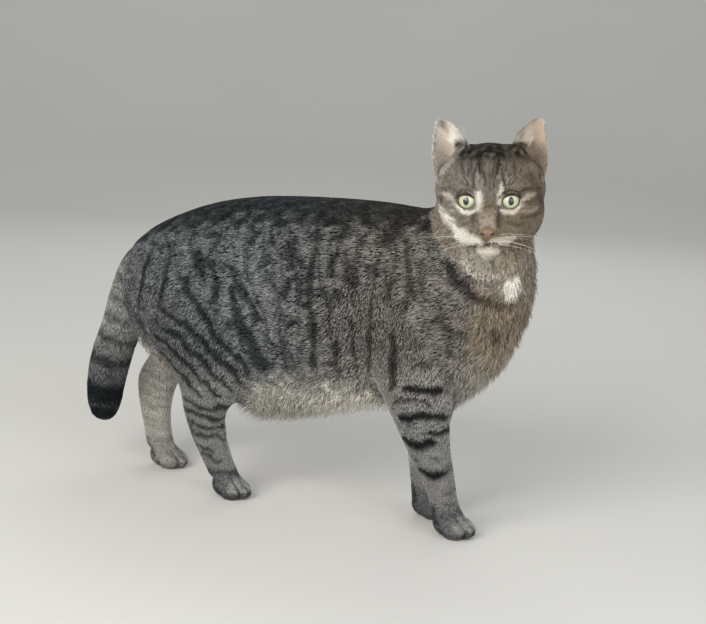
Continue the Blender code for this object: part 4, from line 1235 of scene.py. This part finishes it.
@dataclass
class Tufts:
    """Solid spindles of hair: a point at the root, a three-cornered waist, and a point at the tip.

    The waist's rise and the root's place are shares of the coat's depth.
    """

    coat: CoatMap
    tree: BVHTree
    material: bpy.types.Material
    waist_at: float = 0.42
    waist_rise: float = 0.62
    root_at: float = 1.02
    flatness: float = 0.45
    longer_by: tuple[float, float] = (0.72, 1.22)
    wider_by: tuple[float, float] = (0.75, 1.25)
    patch_size: float = 0.003

    def roots(self, patch: Patch, rng: np.random.Generator) -> tuple[np.ndarray, np.ndarray]:
        """Chooses roots evenly over a patch: equal steps of area times density, each moved at random.

        Args:
            patch: The piece of the coat.
            rng: The random numbers.

        Returns:
            The triangle of each root, and its three shares of that triangle's corners.
        """
        s = self.coat.surface
        chosen = np.isin(self.coat.owner, [FLESH_NODES.index(n) for n in patch.nodes])
        inside = chosen[s.triangles[:, 0]]
        middle = s.points[s.triangles].mean(1)
        inside &= (middle[:, 0] >= patch.x_from) & (middle[:, 0] < patch.x_to)
        if patch.side:
            across = HEAD.inward(middle)[:, 1] if patch.nodes == ("head",) else middle[:, 1]
            inside &= np.where(across >= 0, LEFT, RIGHT) == patch.side
        weight = s.areas * self.coat.grows[patch.where][s.triangles].mean(1) * inside
        total = np.cumsum(weight)
        steps = (np.arange(patch.tufts) + rng.uniform(0, 1, patch.tufts)) / patch.tufts * total[-1]
        triangle = np.searchsorted(total, steps).clip(0, len(weight) - 1)
        a, b = rng.uniform(0, 1, (2, patch.tufts))
        over = a + b > 1
        a[over], b[over] = 1 - a[over], 1 - b[over]
        return triangle, np.stack([1 - a - b, a, b], axis=1)

    def unwrap(self, patch: Patch, points: np.ndarray) -> np.ndarray:
        """Rolls a patch's form out flat: the angle about its own long axis and the length along it.

        Args:
            patch: The piece of the coat.
            points: The roots of its tufts.

        Returns:
            A place from 0 to 1 across and up for each root.
        """
        if patch.nodes == ("head",) or patch.name.startswith("coat_ear"):
            q = HEAD.inward(points)
            flat = np.stack([np.arctan2(q[:, 1], q[:, 0]), q[:, 2]], axis=1)
        elif patch.name.startswith(("coat_flank", "coat_neck")):
            flat = np.stack([np.arctan2(points[:, 1], points[:, 2] - 0.19), points[:, 0]], axis=1)
        else:
            away = points - points.mean(0)
            flat = np.stack([np.arctan2(away[:, 1], away[:, 0]), points[:, 2]], axis=1)
        low, high = flat.min(0), flat.max(0)
        return 0.01 + 0.98 * (flat - low) / (high - low)

    def build(self, patch: Patch, seed: int) -> bpy.types.Object:
        """Makes the tufts of one patch.

        The root lies on the skin. The tip is a tuft's length along the lie of the hair, drawn back to the
        outer form by the share that the coat lies flat there, and lifted a little. The waist lies between,
        with two corners across and one up.

        Args:
            patch: The piece of the coat.
            seed: Names the set of random numbers.

        Returns:
            The piece.
        """
        rng = np.random.default_rng(seed)
        s, c, count = self.coat.surface, self.coat, patch.tufts
        triangle, shares = self.roots(patch, rng)
        corners = s.triangles[triangle]
        at = partial(at_places, corners=corners, shares=shares)
        base, normal, lie = at(s.points), unit(at(s.normals)), unit(at(c.lie))
        if patch.name.startswith("wisps"):
            lie = unit(lie + 1.2 * self.over_the_cup(base))
        lie = unit(lie + patch.hang * np.array([0.0, 0.0, -1.0]))
        length = at(c.length) * rng.uniform(*self.longer_by, count) * patch.longer
        length *= 1 + 0.12 * wobble(base, 0.014, 51)
        width = at(c.width) * rng.uniform(*self.wider_by, count)
        depth, lift, hug = at(c.depth), at(c.lift) + patch.lift * MM, at(c.hug) * (1 - patch.free)
        angle = (at(c.spread) + patch.brush) * (rng.normal(0, 0.8, count) + 0.7 * wobble(base, 0.016, 52))
        side = np.cross(normal, lie)
        way = unit(lie * np.cos(angle)[:, None] + side * np.sin(angle)[:, None])
        side = np.cross(normal, way)
        root = base - normal * (depth * self.root_at)[:, None]
        up = lift * (0.35 + rng.uniform(0, 1, count) + 0.35 * wobble(base, 0.012, 53))
        free = base + way * length[:, None]
        near = [self.tree.find_nearest(p) for p in free.tolist()]
        close, out, number = (np.array([hit[i] for hit in near]) for i in range(3))
        tip = free * (1 - hug)[:, None] + close * hug[:, None]
        tip += (out * hug[:, None] + normal * (1 - hug)[:, None]) * up[:, None]
        waist = root + (tip - root) * self.waist_at + normal * (depth * self.waist_rise)[:, None]
        corner_left = waist + side * (width / 2)[:, None]
        corner_right = waist - side * (width / 2)[:, None]
        corner_top = waist + normal * (width * self.flatness)[:, None]
        points = np.stack([root, corner_left, corner_top, corner_right, tip], axis=1).reshape(-1, 3)
        pattern = np.array([(0, 1, 2), (0, 2, 3), (0, 3, 1), (4, 2, 1), (4, 3, 2), (4, 1, 3)])
        faces = (pattern[None] + 5 * np.arange(count)[:, None, None]).reshape(-1, 3)
        piece = mesh_object(patch.name, points, faces)
        waists = c.places.picked(corners, shares, base + way * (length * self.waist_at)[:, None])
        tips = c.places.picked(s.triangles[number], np.full((count, 3), 1 / 3), close)
        marks = np.stack([Markings(waists).build()] * 4 + [Markings(tips).build()], axis=1)
        set_colours(piece, "marks", marks.reshape(-1, 4))
        chance = np.clip(rng.normal(0.5, at(c.ticking)), 0, 1)
        hair = np.zeros((count, 5, 4))
        hair[:, :, 0] = np.array([0.0, self.waist_at, self.waist_at, self.waist_at, 1.0])
        hair[:, :, 1] = chance[:, None]
        hair[:, :, 3] = 1.0
        set_colours(piece, "hair", hair.reshape(-1, 4))
        self.place_patches(piece, self.unwrap(patch, base), faces)
        piece.data.materials.append(self.material)
        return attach(piece, BODY)

    def over_the_cup(self, base: np.ndarray) -> np.ndarray:
        """Points from the ear's inner edge out across its cup.

        Args:
            base: The roots of the tufts.

        Returns:
            A direction for each, in the cat's axes.
        """
        q = HEAD.inward(base)
        side = np.where(q[:, 1] > 0, 1.0, -1.0)
        return HEAD.direction(np.stack([0.9 + 0 * side, 0.55 * side, 0.2 + 0 * side], axis=1))

    def place_patches(self, piece: bpy.types.Object, centres: np.ndarray, faces: np.ndarray) -> None:
        """Gives each tuft its own small patch of the bake's picture.

        Args:
            piece: The piece of the coat.
            centres: Each root's place on the unwrap.
            faces: The piece's triangles.
        """
        half = self.patch_size / 2
        offsets = np.array([(0, -half), (half, 0), (0, 0), (-half, 0), (0, half)])
        set_bake_places(piece, (centres[:, None] + offsets[None]).reshape(-1, 2), faces)


@dataclass(frozen=True)
class EyeFinish:
    """Cornea over a pale green iris: wet and glassy, with fine fibres round an upright oval pupil."""

    iris_inner: str = "aaae86"
    iris_outer: str = "969f78"
    fibre: str = "c2c6a6"
    rim: str = "2b2a1c"
    pupil: str = "050505"

    def build(self) -> bpy.types.Material:
        """Makes the material from the place about the gaze, which each vertex holds.

        Returns:
            The material.
        """
        material, tree, shader = new_material("cornea_and_iris", {
            "Roughness": 0.22, "IOR": 1.376, "Coat Weight": 1.0, "Coat Roughness": 0.03})
        node = partial(add_node, tree)
        gaze = node("ShaderNodeAttribute", attribute_name="gaze").outputs["Color"]
        radius, around, pupil = node("ShaderNodeSeparateColor", {0: gaze}).outputs
        spoke = node("ShaderNodeCombineXYZ", {0: around, 1: radius}).outputs[0]
        fibres = node("ShaderNodeTexNoise", {"Vector": spoke, "Scale": 26.0, "Detail": 3.0}).outputs[0]
        streak, edge, hole = (
            node("ShaderNodeMapRange", {0: value, 1: low, 2: high, 3: start, 4: 1.0 - start}).outputs[0]
            for value, low, high, start in ((fibres, 0.35, 0.65, 0.0), (radius, 0.82, 1.0, 0.0),
                                            (pupil, 0.94, 1.06, 1.0)))
        colour = linear(self.iris_inner)
        for factor, over in ((radius, self.iris_outer), (streak, self.fibre), (edge, self.rim),
                             (hole, self.pupil)):
            mix = node("ShaderNodeMix", {0: factor, 6: colour, 7: linear(over)}, data_type="RGBA")
            colour = mix.outputs[2]
        tree.links.new(colour, shader.inputs["Base Color"])
        return material


@dataclass
class Eye:
    """One eyeball with its bulging cornea, made as rings about the gaze."""

    side: int
    material: bpy.types.Material
    radius: float = EYE_RADIUS - 0.1 * MM
    iris: float = 7.6 * MM
    bulge: float = 0.5 * MM
    pupil: tuple[float, float] = (2.6 * MM, 3.7 * MM)
    rings: int = 40
    sectors: int = 48

    def build(self) -> bpy.types.Object:
        """Sets points at equal angles from the gaze, pushed out over the iris by a smooth bulge.

        Returns:
            The piece.
        """
        tilt = np.linspace(0.001, math.pi - 0.001, self.rings)[:, None]
        turn = np.linspace(0, 2 * math.pi, self.sectors, endpoint=False)[None, :]
        off = self.radius * np.sin(tilt)
        push = self.radius + self.bulge * (1 - rise(0.0, self.iris, off)) * (tilt < math.pi / 2)
        x = push * np.cos(tilt) + 0 * turn
        y, z = push * np.sin(tilt) * np.cos(turn), push * np.sin(tilt) * np.sin(turn)
        grid = np.stack([x, y, z], axis=-1).reshape(-1, 3)
        turned = grid @ np.array(Matrix.Rotation(self.side * EYE_OUTWARD, 3, "Z")).T + eye_centre(self.side)
        points = HEAD.outward(turned)
        faces = grid_faces(self.rings, self.sectors)
        piece = mesh_object(f"eyeball_{SIDE_NAME[self.side]}", points, faces)
        size = np.where(grid[:, 0] > 0, np.hypot(grid[:, 1], grid[:, 2]) / self.iris, 1.2)
        hole = np.hypot(grid[:, 1] / self.pupil[0], grid[:, 2] / self.pupil[1])
        hole = np.where(grid[:, 0] > 0, hole, 9.0)
        around = (np.arctan2(grid[:, 2], grid[:, 1]) / math.pi + 1) * 2
        set_colours(piece, "gaze", np.stack([size, around, hole, np.ones(len(grid))], axis=1))
        piece.data.materials.append(self.material)
        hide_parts("eye_left" if self.side == LEFT else "eye_right")
        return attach(piece, BODY)


@dataclass
class FaceSeat:
    """Finds places on the face, so that nose and whiskers stand on it."""

    tree: BVHTree

    def from_front(self, across: np.ndarray, up: np.ndarray) -> np.ndarray:
        """Casts a line back to the face for each place across and up, in the head's axes.

        Args:
            across: Places to the cat's left of the middle.
            up: Places above the middle of the eyes.

        Returns:
            The points of the face there, in the head's axes.
        """
        start = HEAD.outward(np.stack([np.full(len(across), 0.12), across, up], axis=1))
        back = Vector(HEAD.direction(np.array([[-1.0, 0.0, 0.0]]))[0])
        hits = [self.tree.ray_cast(Vector(p), back)[0] for p in start]
        found = np.array([hit if hit is not None else p for hit, p in zip(hits, start)])
        return HEAD.inward(found)


@dataclass(frozen=True)
class MoistSkin:
    """Bare skin with fine pebbles: moist on the nose, with painted shade in its nostrils and groove, darker
    and smoother on the rims of the lids.
    """

    name: str
    light: str
    deep: str
    hollow_shade: str = "1c100d"
    roughness: float = 0.38
    pebble: float = 0.55 * MM

    def build(self) -> bpy.types.Material:
        """Makes the material from noise the size of the pebbles and the depth that each vertex holds, which
        darkens hollows as painted shade.

        Returns:
            The material.
        """
        material, tree, shader = new_material(self.name, {
            "Roughness": self.roughness, "IOR": 1.40, "Subsurface Weight": 0.03, "Subsurface Scale": 1.0,
            "Subsurface Radius": (0.002, 0.0008, 0.0005)})
        node = partial(add_node, tree)
        place = node("ShaderNodeTexCoord").outputs["Object"]
        depth = node("ShaderNodeAttribute", attribute_name="depth").outputs["Color"]
        hollow_shade = node("ShaderNodeSeparateColor", {0: depth}).outputs[0]
        cells = node("ShaderNodeTexVoronoi", {"Vector": place, "Scale": 0.6 / self.pebble})
        # The skin is blotched over 2 to 3 mm.
        cloud = node("ShaderNodeTexNoise", {"Vector": place, "Scale": 420.0, "Detail": 2.0})
        tone = node("ShaderNodeMapRange", {0: cloud.outputs[0], 1: 0.3, 2: 0.7, 3: 0.0, 4: 0.45})
        colour = linear(self.light)
        # Deep places turn to the hollow colour: painted shade.
        for factor, over in ((tone.outputs[0], self.deep), (hollow_shade, self.hollow_shade)):
            mix = node("ShaderNodeMix", {0: factor, 6: colour, 7: linear(over)}, data_type="RGBA")
            colour = mix.outputs[2]
        bump = node("ShaderNodeBump", {"Height": cells.outputs[0], "Strength": 0.35, "Distance": 0.0004})
        tree.links.new(colour, shader.inputs["Base Color"])
        tree.links.new(bump.outputs[0], shader.inputs["Normal"])
        return material


@dataclass
class NoseLeather:
    """The bare end of the nose: a low dome, wide above and narrow below, with two nostrils and a groove."""

    seat: FaceSeat
    half_width: float = 7.7 * MM
    half_height: float = 6.2 * MM
    middle: float = -28.2 * MM
    dome: float = 0.9 * MM
    narrowing: float = 0.56
    droop: float = 1.1 * MM
    nostril: tuple[float, float, float] = (4.3 * MM, 2.3 * MM, 1.15 * MM)
    nostril_depth: float = 1.5 * MM
    groove: float = 0.55 * MM
    groove_half: float = 0.5 * MM
    thickness: float = 2.4 * MM
    edge_thickness: float = 0.25 * MM
    smoothing: int = 6
    rows: int = 22
    columns: int = 72

    def build(self) -> bpy.types.Object:
        """Makes the front sheet from rings of a disc and closes it with a second sheet behind.

        A point of the disc (a, b) goes to across = W * a * (1 - N * fall(b)) and
        up = M + H * b - D * |a| * rise(b), with half width W, narrowing N, middle M, half height H and
        droop D; fall grows from 0 above to 1 below. Its height over the face is dome * (1 - r^4), less
        the depth of the nostrils and the groove.

        Returns:
            The piece.
        """
        r = np.sqrt(np.linspace(0.0004, 1, self.rows))[:, None]
        turn = np.linspace(0, 2 * math.pi, self.columns, endpoint=False)[None, :]
        a, b = (r * np.cos(turn)).ravel(), (r * np.sin(turn)).ravel()
        radius = (r + 0 * turn).ravel()
        across = self.half_width * a * (1 - self.narrowing * rise(0.5, -1.0, b))
        up = self.middle + self.half_height * b - self.droop * np.abs(a) * rise(0.0, 1.0, b)
        face = self.seat.from_front(across, up)
        grid = face.reshape(self.rows, self.columns, 3)
        x = grid[:, :, 0].copy()
        for _ in range(self.smoothing):
            x[1:-1] = (x[1:-1] * 2 + np.roll(x, 1, 1)[1:-1] + np.roll(x, -1, 1)[1:-1] + x[:-2] + x[2:]) / 6
        place, wide, high = self.nostril
        out = np.abs(across) - place
        below = up - (self.middle - 0.3 * MM) - 0.35 * out
        hole = np.exp(-((out / wide) ** 2 + (below / high) ** 2) * 1.6)
        slit = np.exp(-(((np.abs(across) - place - 1.9 * MM) / 1.6 / MM) ** 2
                        + ((up - self.middle + 1.5 * MM) / 0.55 / MM) ** 2))
        hole = np.maximum(hole, 0.8 * slit)
        crease = np.exp(-(across / self.groove_half) ** 2) * rise(0.35, -0.35, b)
        height = self.dome * (1 - radius ** 4) - self.nostril_depth * hole - self.groove * crease
        front = np.stack([x.ravel() + height, across, up], axis=1)
        behind = self.thickness * (1 - radius ** 2) + self.edge_thickness
        rear = front - np.array([1.0, 0, 0]) * behind[:, None]
        rear[:, 0] -= height * (1 - radius)
        count = len(front)
        faces = grid_faces(self.rows, self.columns)
        rim = (self.rows - 1) * self.columns + np.arange(self.columns)
        join = np.stack([rim, np.roll(rim, -1), np.roll(rim, -1) + count, rim + count], axis=1)
        every = np.concatenate([faces, faces[:, ::-1] + count, join[:, ::-1]])
        piece = mesh_object("nose_leather", HEAD.outward(np.concatenate([front, rear])), every)
        # The nostrils and the groove are darkened by their depth: painted shade in the hollows.
        depth = np.clip(hole * 1.15 + 0.35 * crease, 0, 1)
        rows = np.stack([np.concatenate([depth, depth])] * 3 + [np.ones(2 * count)], axis=1)
        set_colours(piece, "depth", rows)
        piece.data.materials.append(MoistSkin("nose_leather", "7d6350", "57463a").build())
        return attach(piece, BODY)


@dataclass
class Lids:
    """The rims of both lids of one eye: a rounded band round the opening, its inner corner drawn out."""

    side: int
    material: bpy.types.Material
    half_width: float = 8.2 * MM
    above: float = 4.7 * MM
    below: float = 6.4 * MM
    slant: float = math.radians(8.0)
    corner_longer: float = 0.26
    corner_lower: float = 0.9 * MM
    profile: tuple[tuple[float, float], ...] = (
        (1.42, -0.5), (1.42, 1.3), (1.20, 1.75), (1.10, 1.60), (1.03, 1.15), (0.985, 0.65), (0.985, 0.22),
        (1.05, -0.1))
    columns: int = 96

    def build(self) -> bpy.types.Object:
        """Sweeps a closed profile round the opening on balls a little larger than the eye.

        The opening is y = W * cos t, z = A * |sin t|^1.15 with the sign of sin t and A for the upper or the
        lower half; each corner of the profile scales it and gives its height over the eyeball.

        Returns:
            The piece.
        """
        turn = np.linspace(0, 2 * math.pi, self.columns, endpoint=False)
        inner = np.cos(turn) * -self.side
        high = np.where(np.sin(turn) > 0, self.above, self.below)
        corner = 1 + self.corner_longer * np.exp(-((1 - inner) / 0.05) ** 2) * (inner > 0)
        y = self.half_width * np.cos(turn) * corner
        z = high * np.sign(np.sin(turn)) * np.abs(np.sin(turn)) ** 1.15
        z -= self.corner_lower * (corner - 1) / self.corner_longer
        profile = np.array(self.profile)
        scale, over = profile[:, 0][:, None], profile[:, 1][:, None] * MM
        ys, zs = scale * y, scale * z
        ball = EYE_RADIUS + over
        x = np.sqrt(np.maximum(ball ** 2 - ys ** 2 - zs ** 2, 1e-8))
        grid = np.stack([x, ys, zs], axis=-1).reshape(-1, 3)
        tilt = Matrix.Rotation(self.side * EYE_OUTWARD, 3, "Z")
        tilt = tilt @ Matrix.Rotation(self.side * self.slant, 3, "X")
        points = HEAD.outward(grid @ np.array(tilt).T + eye_centre(self.side))
        faces = grid_faces(len(profile) + 1, self.columns) % (len(profile) * self.columns)
        piece = mesh_object(f"lid_rims_{SIDE_NAME[self.side]}", points, faces)
        set_colours(piece, "depth", np.tile([0.0, 0.0, 0.0, 1.0], (len(points), 1)))
        piece.data.materials.append(self.material)
        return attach(piece, BODY)


@dataclass(frozen=True)
class PlainFinish:
    """A plain matt or smooth stuff whose colour clouds a little between two close tones."""

    name: str
    light: str
    dark: str
    scale: float
    roughness: float
    ior: float = 1.5

    def build(self) -> bpy.types.Material:
        """Makes the material, its two tones mixed by noise with so many clouds to the metre.

        Returns:
            The material.
        """
        material, tree, shader = new_material(self.name, {"Roughness": self.roughness, "IOR": self.ior})
        node = partial(add_node, tree)
        place = node("ShaderNodeTexCoord").outputs["Object"]
        cloud = node("ShaderNodeTexNoise", {"Vector": place, "Scale": self.scale}).outputs[0]
        colour = node("ShaderNodeMix", {0: cloud, 6: linear(self.light), 7: linear(self.dark)},
                      data_type="RGBA").outputs[2]
        tree.links.new(colour, shader.inputs["Base Color"])
        return material


# Keratin of a whisker: white and smooth, so each one catches a thin line of light; greyer spots 4 mm apart.
WHISKER = PlainFinish("white_whisker", "f4f1ea", "d9d5ca", scale=240.0, roughness=0.35, ior=1.55)
# Seamless paper under the model: matt, so that it shows a soft shadow and nothing else.
PAPER = PlainFinish("matt_paper", "d2d0ca", "dad8d2", scale=1.5, roughness=0.9)


@dataclass
class Whiskers:
    """The long hairs of one side: six whiskers on the lip, in four rows, and two over the eye."""

    side: int
    seat: FaceSeat
    material: bpy.types.Material
    lip_rows: tuple[int, ...] = (1, 2, 2, 1)
    brow: tuple[tuple[float, float], ...] = ((15.0, 13.0), (19.0, 13.5))
    lip_length: tuple[float, float] = (28.0, 46.0)
    brow_length: tuple[float, float] = (18.0, 26.0)
    radius: float = 0.11 * MM
    steps: int = 18
    sectors: int = 5

    def build(self, seed: int) -> bpy.types.Object:
        """Sweeps a tapering ring along root + L * (t * out + t^2 * bend) for every whisker at once.

        Args:
            seed: Names the set of lengths and directions.

        Returns:
            The piece.
        """
        rng = np.random.default_rng(seed)
        lip = [(11.0 + 3.4 * k, -29.0 - 3.0 * row + 0.5 * k)
               for row, number in enumerate(self.lip_rows) for k in range(number)]
        roots = np.array(lip + list(self.brow)) * MM
        on_lip = np.arange(len(roots)) < len(lip)
        base = self.seat.from_front(self.side * roots[:, 0], roots[:, 1])
        level = (roots[:, 1] + 33.5 * MM) / (5 * MM)
        count = len(roots)
        out = np.stack([np.where(on_lip, 0.30, 0.75), np.where(on_lip, 0.95, 0.35) * self.side,
                        np.where(on_lip, 0.06 + 0.16 * level, 0.70)], axis=1)
        out = unit(out + rng.normal(0, 0.07, (count, 3)))
        bend = np.stack([np.where(on_lip, -0.26, -0.20), np.where(on_lip, 0.02, 0.22) * self.side,
                         np.where(on_lip, -0.24 + 0.05 * level, -0.12)], axis=1)
        bend += rng.normal(0, 0.03, (count, 3))
        on_lips, on_brows = rng.uniform(*self.lip_length, count), rng.uniform(*self.brow_length, count)
        length = np.where(on_lip, on_lips, on_brows)[:, None, None] * MM
        t = np.linspace(0, 1, self.steps)[None, :, None]
        path = (base - out * 1.5 * MM)[:, None] + length * (t * out[:, None] + t ** 2 * bend[:, None])
        along = unit(out[:, None] + 2 * t * bend[:, None])
        cross = unit(np.cross(along, np.array([0.0, 0.0, 1.0])))
        high = np.cross(cross, along)
        turn = np.linspace(0, 2 * math.pi, self.sectors, endpoint=False)
        wide = self.radius * (1 - 0.93 * t[..., 0] ** 1.3)
        ring = cross[:, :, None] * np.cos(turn)[:, None] + high[:, :, None] * np.sin(turn)[:, None]
        points = path[:, :, None] + ring * wide[..., None, None]
        per = self.steps * self.sectors
        one = grid_faces(self.steps, self.sectors)
        faces = (one[None] + per * np.arange(count)[:, None, None]).reshape(-1, 4)
        piece = mesh_object(f"whiskers_{SIDE_NAME[self.side]}", HEAD.outward(points.reshape(-1, 3)), faces)
        spots = (roots - roots.min(0)) / np.ptp(roots, axis=0) * 0.98 + 0.01
        flat = np.stack(np.broadcast_arrays(turn[None, :] / 2 / math.pi, t[0]), axis=-1).reshape(-1, 2)
        set_bake_places(piece, (spots[:, None] + 0.003 * flat[None]).reshape(-1, 2), faces)
        piece.data.materials.append(self.material)
        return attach(piece, BODY)


def grid_faces(rows: int, columns: int, closed: bool = True) -> np.ndarray:
    """Joins a grid of points into four-sided faces, row after row.

    Args:
        rows: How many rows of points.
        columns: How many points to a row.
        closed: Whether each row runs round.

    Returns:
        Vertex numbers, four to a row.
    """
    last = columns if closed else columns - 1
    row, column = np.meshgrid(np.arange(rows - 1), np.arange(last), indexing="ij")
    a = row * columns + column
    b = row * columns + (column + 1) % columns
    return np.stack([a, a + columns, b + columns, b], axis=-1).reshape(-1, 4)


@dataclass(frozen=True)
class Studio:
    """A plain pale floor, soft light and the camera, which stands at `eye` and looks along its angles."""

    eye: tuple[float, float, float] = (0.61093, -1.21178, 0.43611)
    azimuth: float = math.radians(24.59)
    elevation: float = math.radians(10.36)
    roll: float = math.radians(2.40)
    lens: float = 73.33
    sensor: float = 36.0
    aim: tuple[float, float, float] = (0.0, 0.0, 0.18)
    sweep: float = 1.6
    sweep_from: float = 2.2
    wall: float = 4.0

    def camera(self) -> None:
        """Sets the camera from its place and the three angles."""
        az, el, roll = self.azimuth, self.elevation, self.roll
        out = Vector((math.sin(az) * math.cos(el), -math.cos(az) * math.cos(el), math.sin(el)))
        right = Vector((math.cos(az), math.sin(az), 0.0))
        up = out.cross(right)
        across = right * math.cos(roll) + up * math.sin(roll)
        high = up * math.cos(roll) - right * math.sin(roll)
        data = bpy.data.cameras.new("camera")
        data.lens, data.sensor_width = self.lens, self.sensor
        camera = bpy.data.objects.new("camera", data)
        turn = Matrix((across, high, out)).transposed().to_4x4()
        camera.matrix_world = Matrix.Translation(self.eye) @ turn
        bpy.context.scene.collection.objects.link(camera)
        bpy.context.scene.camera = camera

    def light(
        self, name: str, place: tuple[float, float, float], size: float, power: float, colour: str,
    ) -> None:
        """Adds one square soft light that faces the middle of the cat.

        Args:
            name: The light's name.
            place: Where it stands.
            size: Its width in metres.
            power: Its power in watts.
            colour: Its colour.
        """
        data = bpy.data.lights.new(name, "AREA")
        data.size, data.energy, data.color = size, power, linear(colour)[:3]
        lamp = bpy.data.objects.new(name, data)
        away = Vector(place) - Vector(self.aim)
        lamp.matrix_world = Matrix.Translation(place) @ away.to_track_quat("Z", "Y").to_matrix().to_4x4()
        bpy.context.scene.collection.objects.link(lamp)

    def floor(self) -> None:
        """Lays one pale sheet: level under the cat, then a quarter circle up to an upright wall."""
        angle = np.linspace(0, math.pi / 2, 25)
        depth = [[-5.0, 0.0], self.sweep_from + self.sweep * np.sin(angle), [self.sweep_from + self.sweep]]
        depth = np.concatenate(depth)
        level = np.concatenate([[0.0, 0.0], self.sweep * (1 - np.cos(angle)), [self.wall + self.sweep]])
        across = np.array([-9.0, 9.0])
        away = np.array([-math.sin(self.azimuth), math.cos(self.azimuth)])
        along = np.array([away[1], -away[0]])
        flat = depth[:, None, None] * away + across[None, :, None] * along
        points = np.concatenate([flat, np.broadcast_to(level[:, None, None], (len(level), 2, 1))], axis=2)
        faces = grid_faces(len(level), 2, closed=False)[:, ::-1]
        floor = mesh_object("floor", points.reshape(-1, 3), faces)
        floor.data.materials.append(PAPER.build())

    def build(self) -> None:
        """Sets up camera, lights, world and floor."""
        self.camera()
        self.light("key_light", (-0.3, -1.9, 1.15), 1.4, 40.0, "fffdfa")
        self.light("fill_light", (1.9, -1.1, 0.8), 1.6, 22.0, "f2f6ff")
        self.light("front_light", (0.8, -2.3, 0.5), 1.8, 20.0, "ffffff")
        self.light("back_light", (-0.5, 1.6, 1.5), 1.6, 10.0, "ffffff")
        world = bpy.data.worlds.new("pale_room")
        world.use_nodes = True
        world.node_tree.nodes["Background"].inputs[0].default_value = linear("dfe2e6")
        world.node_tree.nodes["Background"].inputs[1].default_value = 0.55
        bpy.context.scene.world = world
        bpy.context.scene.view_settings.view_transform = "Standard"
        self.floor()


def main() -> None:
    """Builds the cat and reports each piece."""
    Studio().build()
    surface, owner = Flesh().build()
    LOG.info("outer form: %d triangles", len(surface.triangles))
    coat = CoatMap(surface, owner)
    skin = Skin(coat).build()
    LOG.info("%s: %d vertices", skin.name, len(skin.data.vertices))
    tufts = Tufts(coat, surface.tree(), HairFinish("guard_hair").build())
    total = 0
    for number, patch in enumerate(PATCHES):
        piece = tufts.build(patch, 100 + number)
        total += len(piece.data.polygons)
        LOG.info("%s: %d triangles", piece.name, len(piece.data.polygons))
    cornea, rim = EyeFinish().build(), MoistSkin("lid_rim", "33251f", "1b1310", roughness=0.32).build()
    seat, white = FaceSeat(tufts.tree), WHISKER.build()
    LOG.info("%s", NoseLeather(seat).build().name)
    for side in (LEFT, RIGHT):
        for piece in (Eye(side, cornea).build(), Lids(side, rim).build(),
                      Whiskers(side, seat, white).build(7 + side)):
            LOG.info("%s: %d faces", piece.name, len(piece.data.polygons))
    LOG.info("coat: %d triangles", total)


if __name__ == "__main__":
    logging.basicConfig(level=logging.INFO, format="%(message)s")
    main()
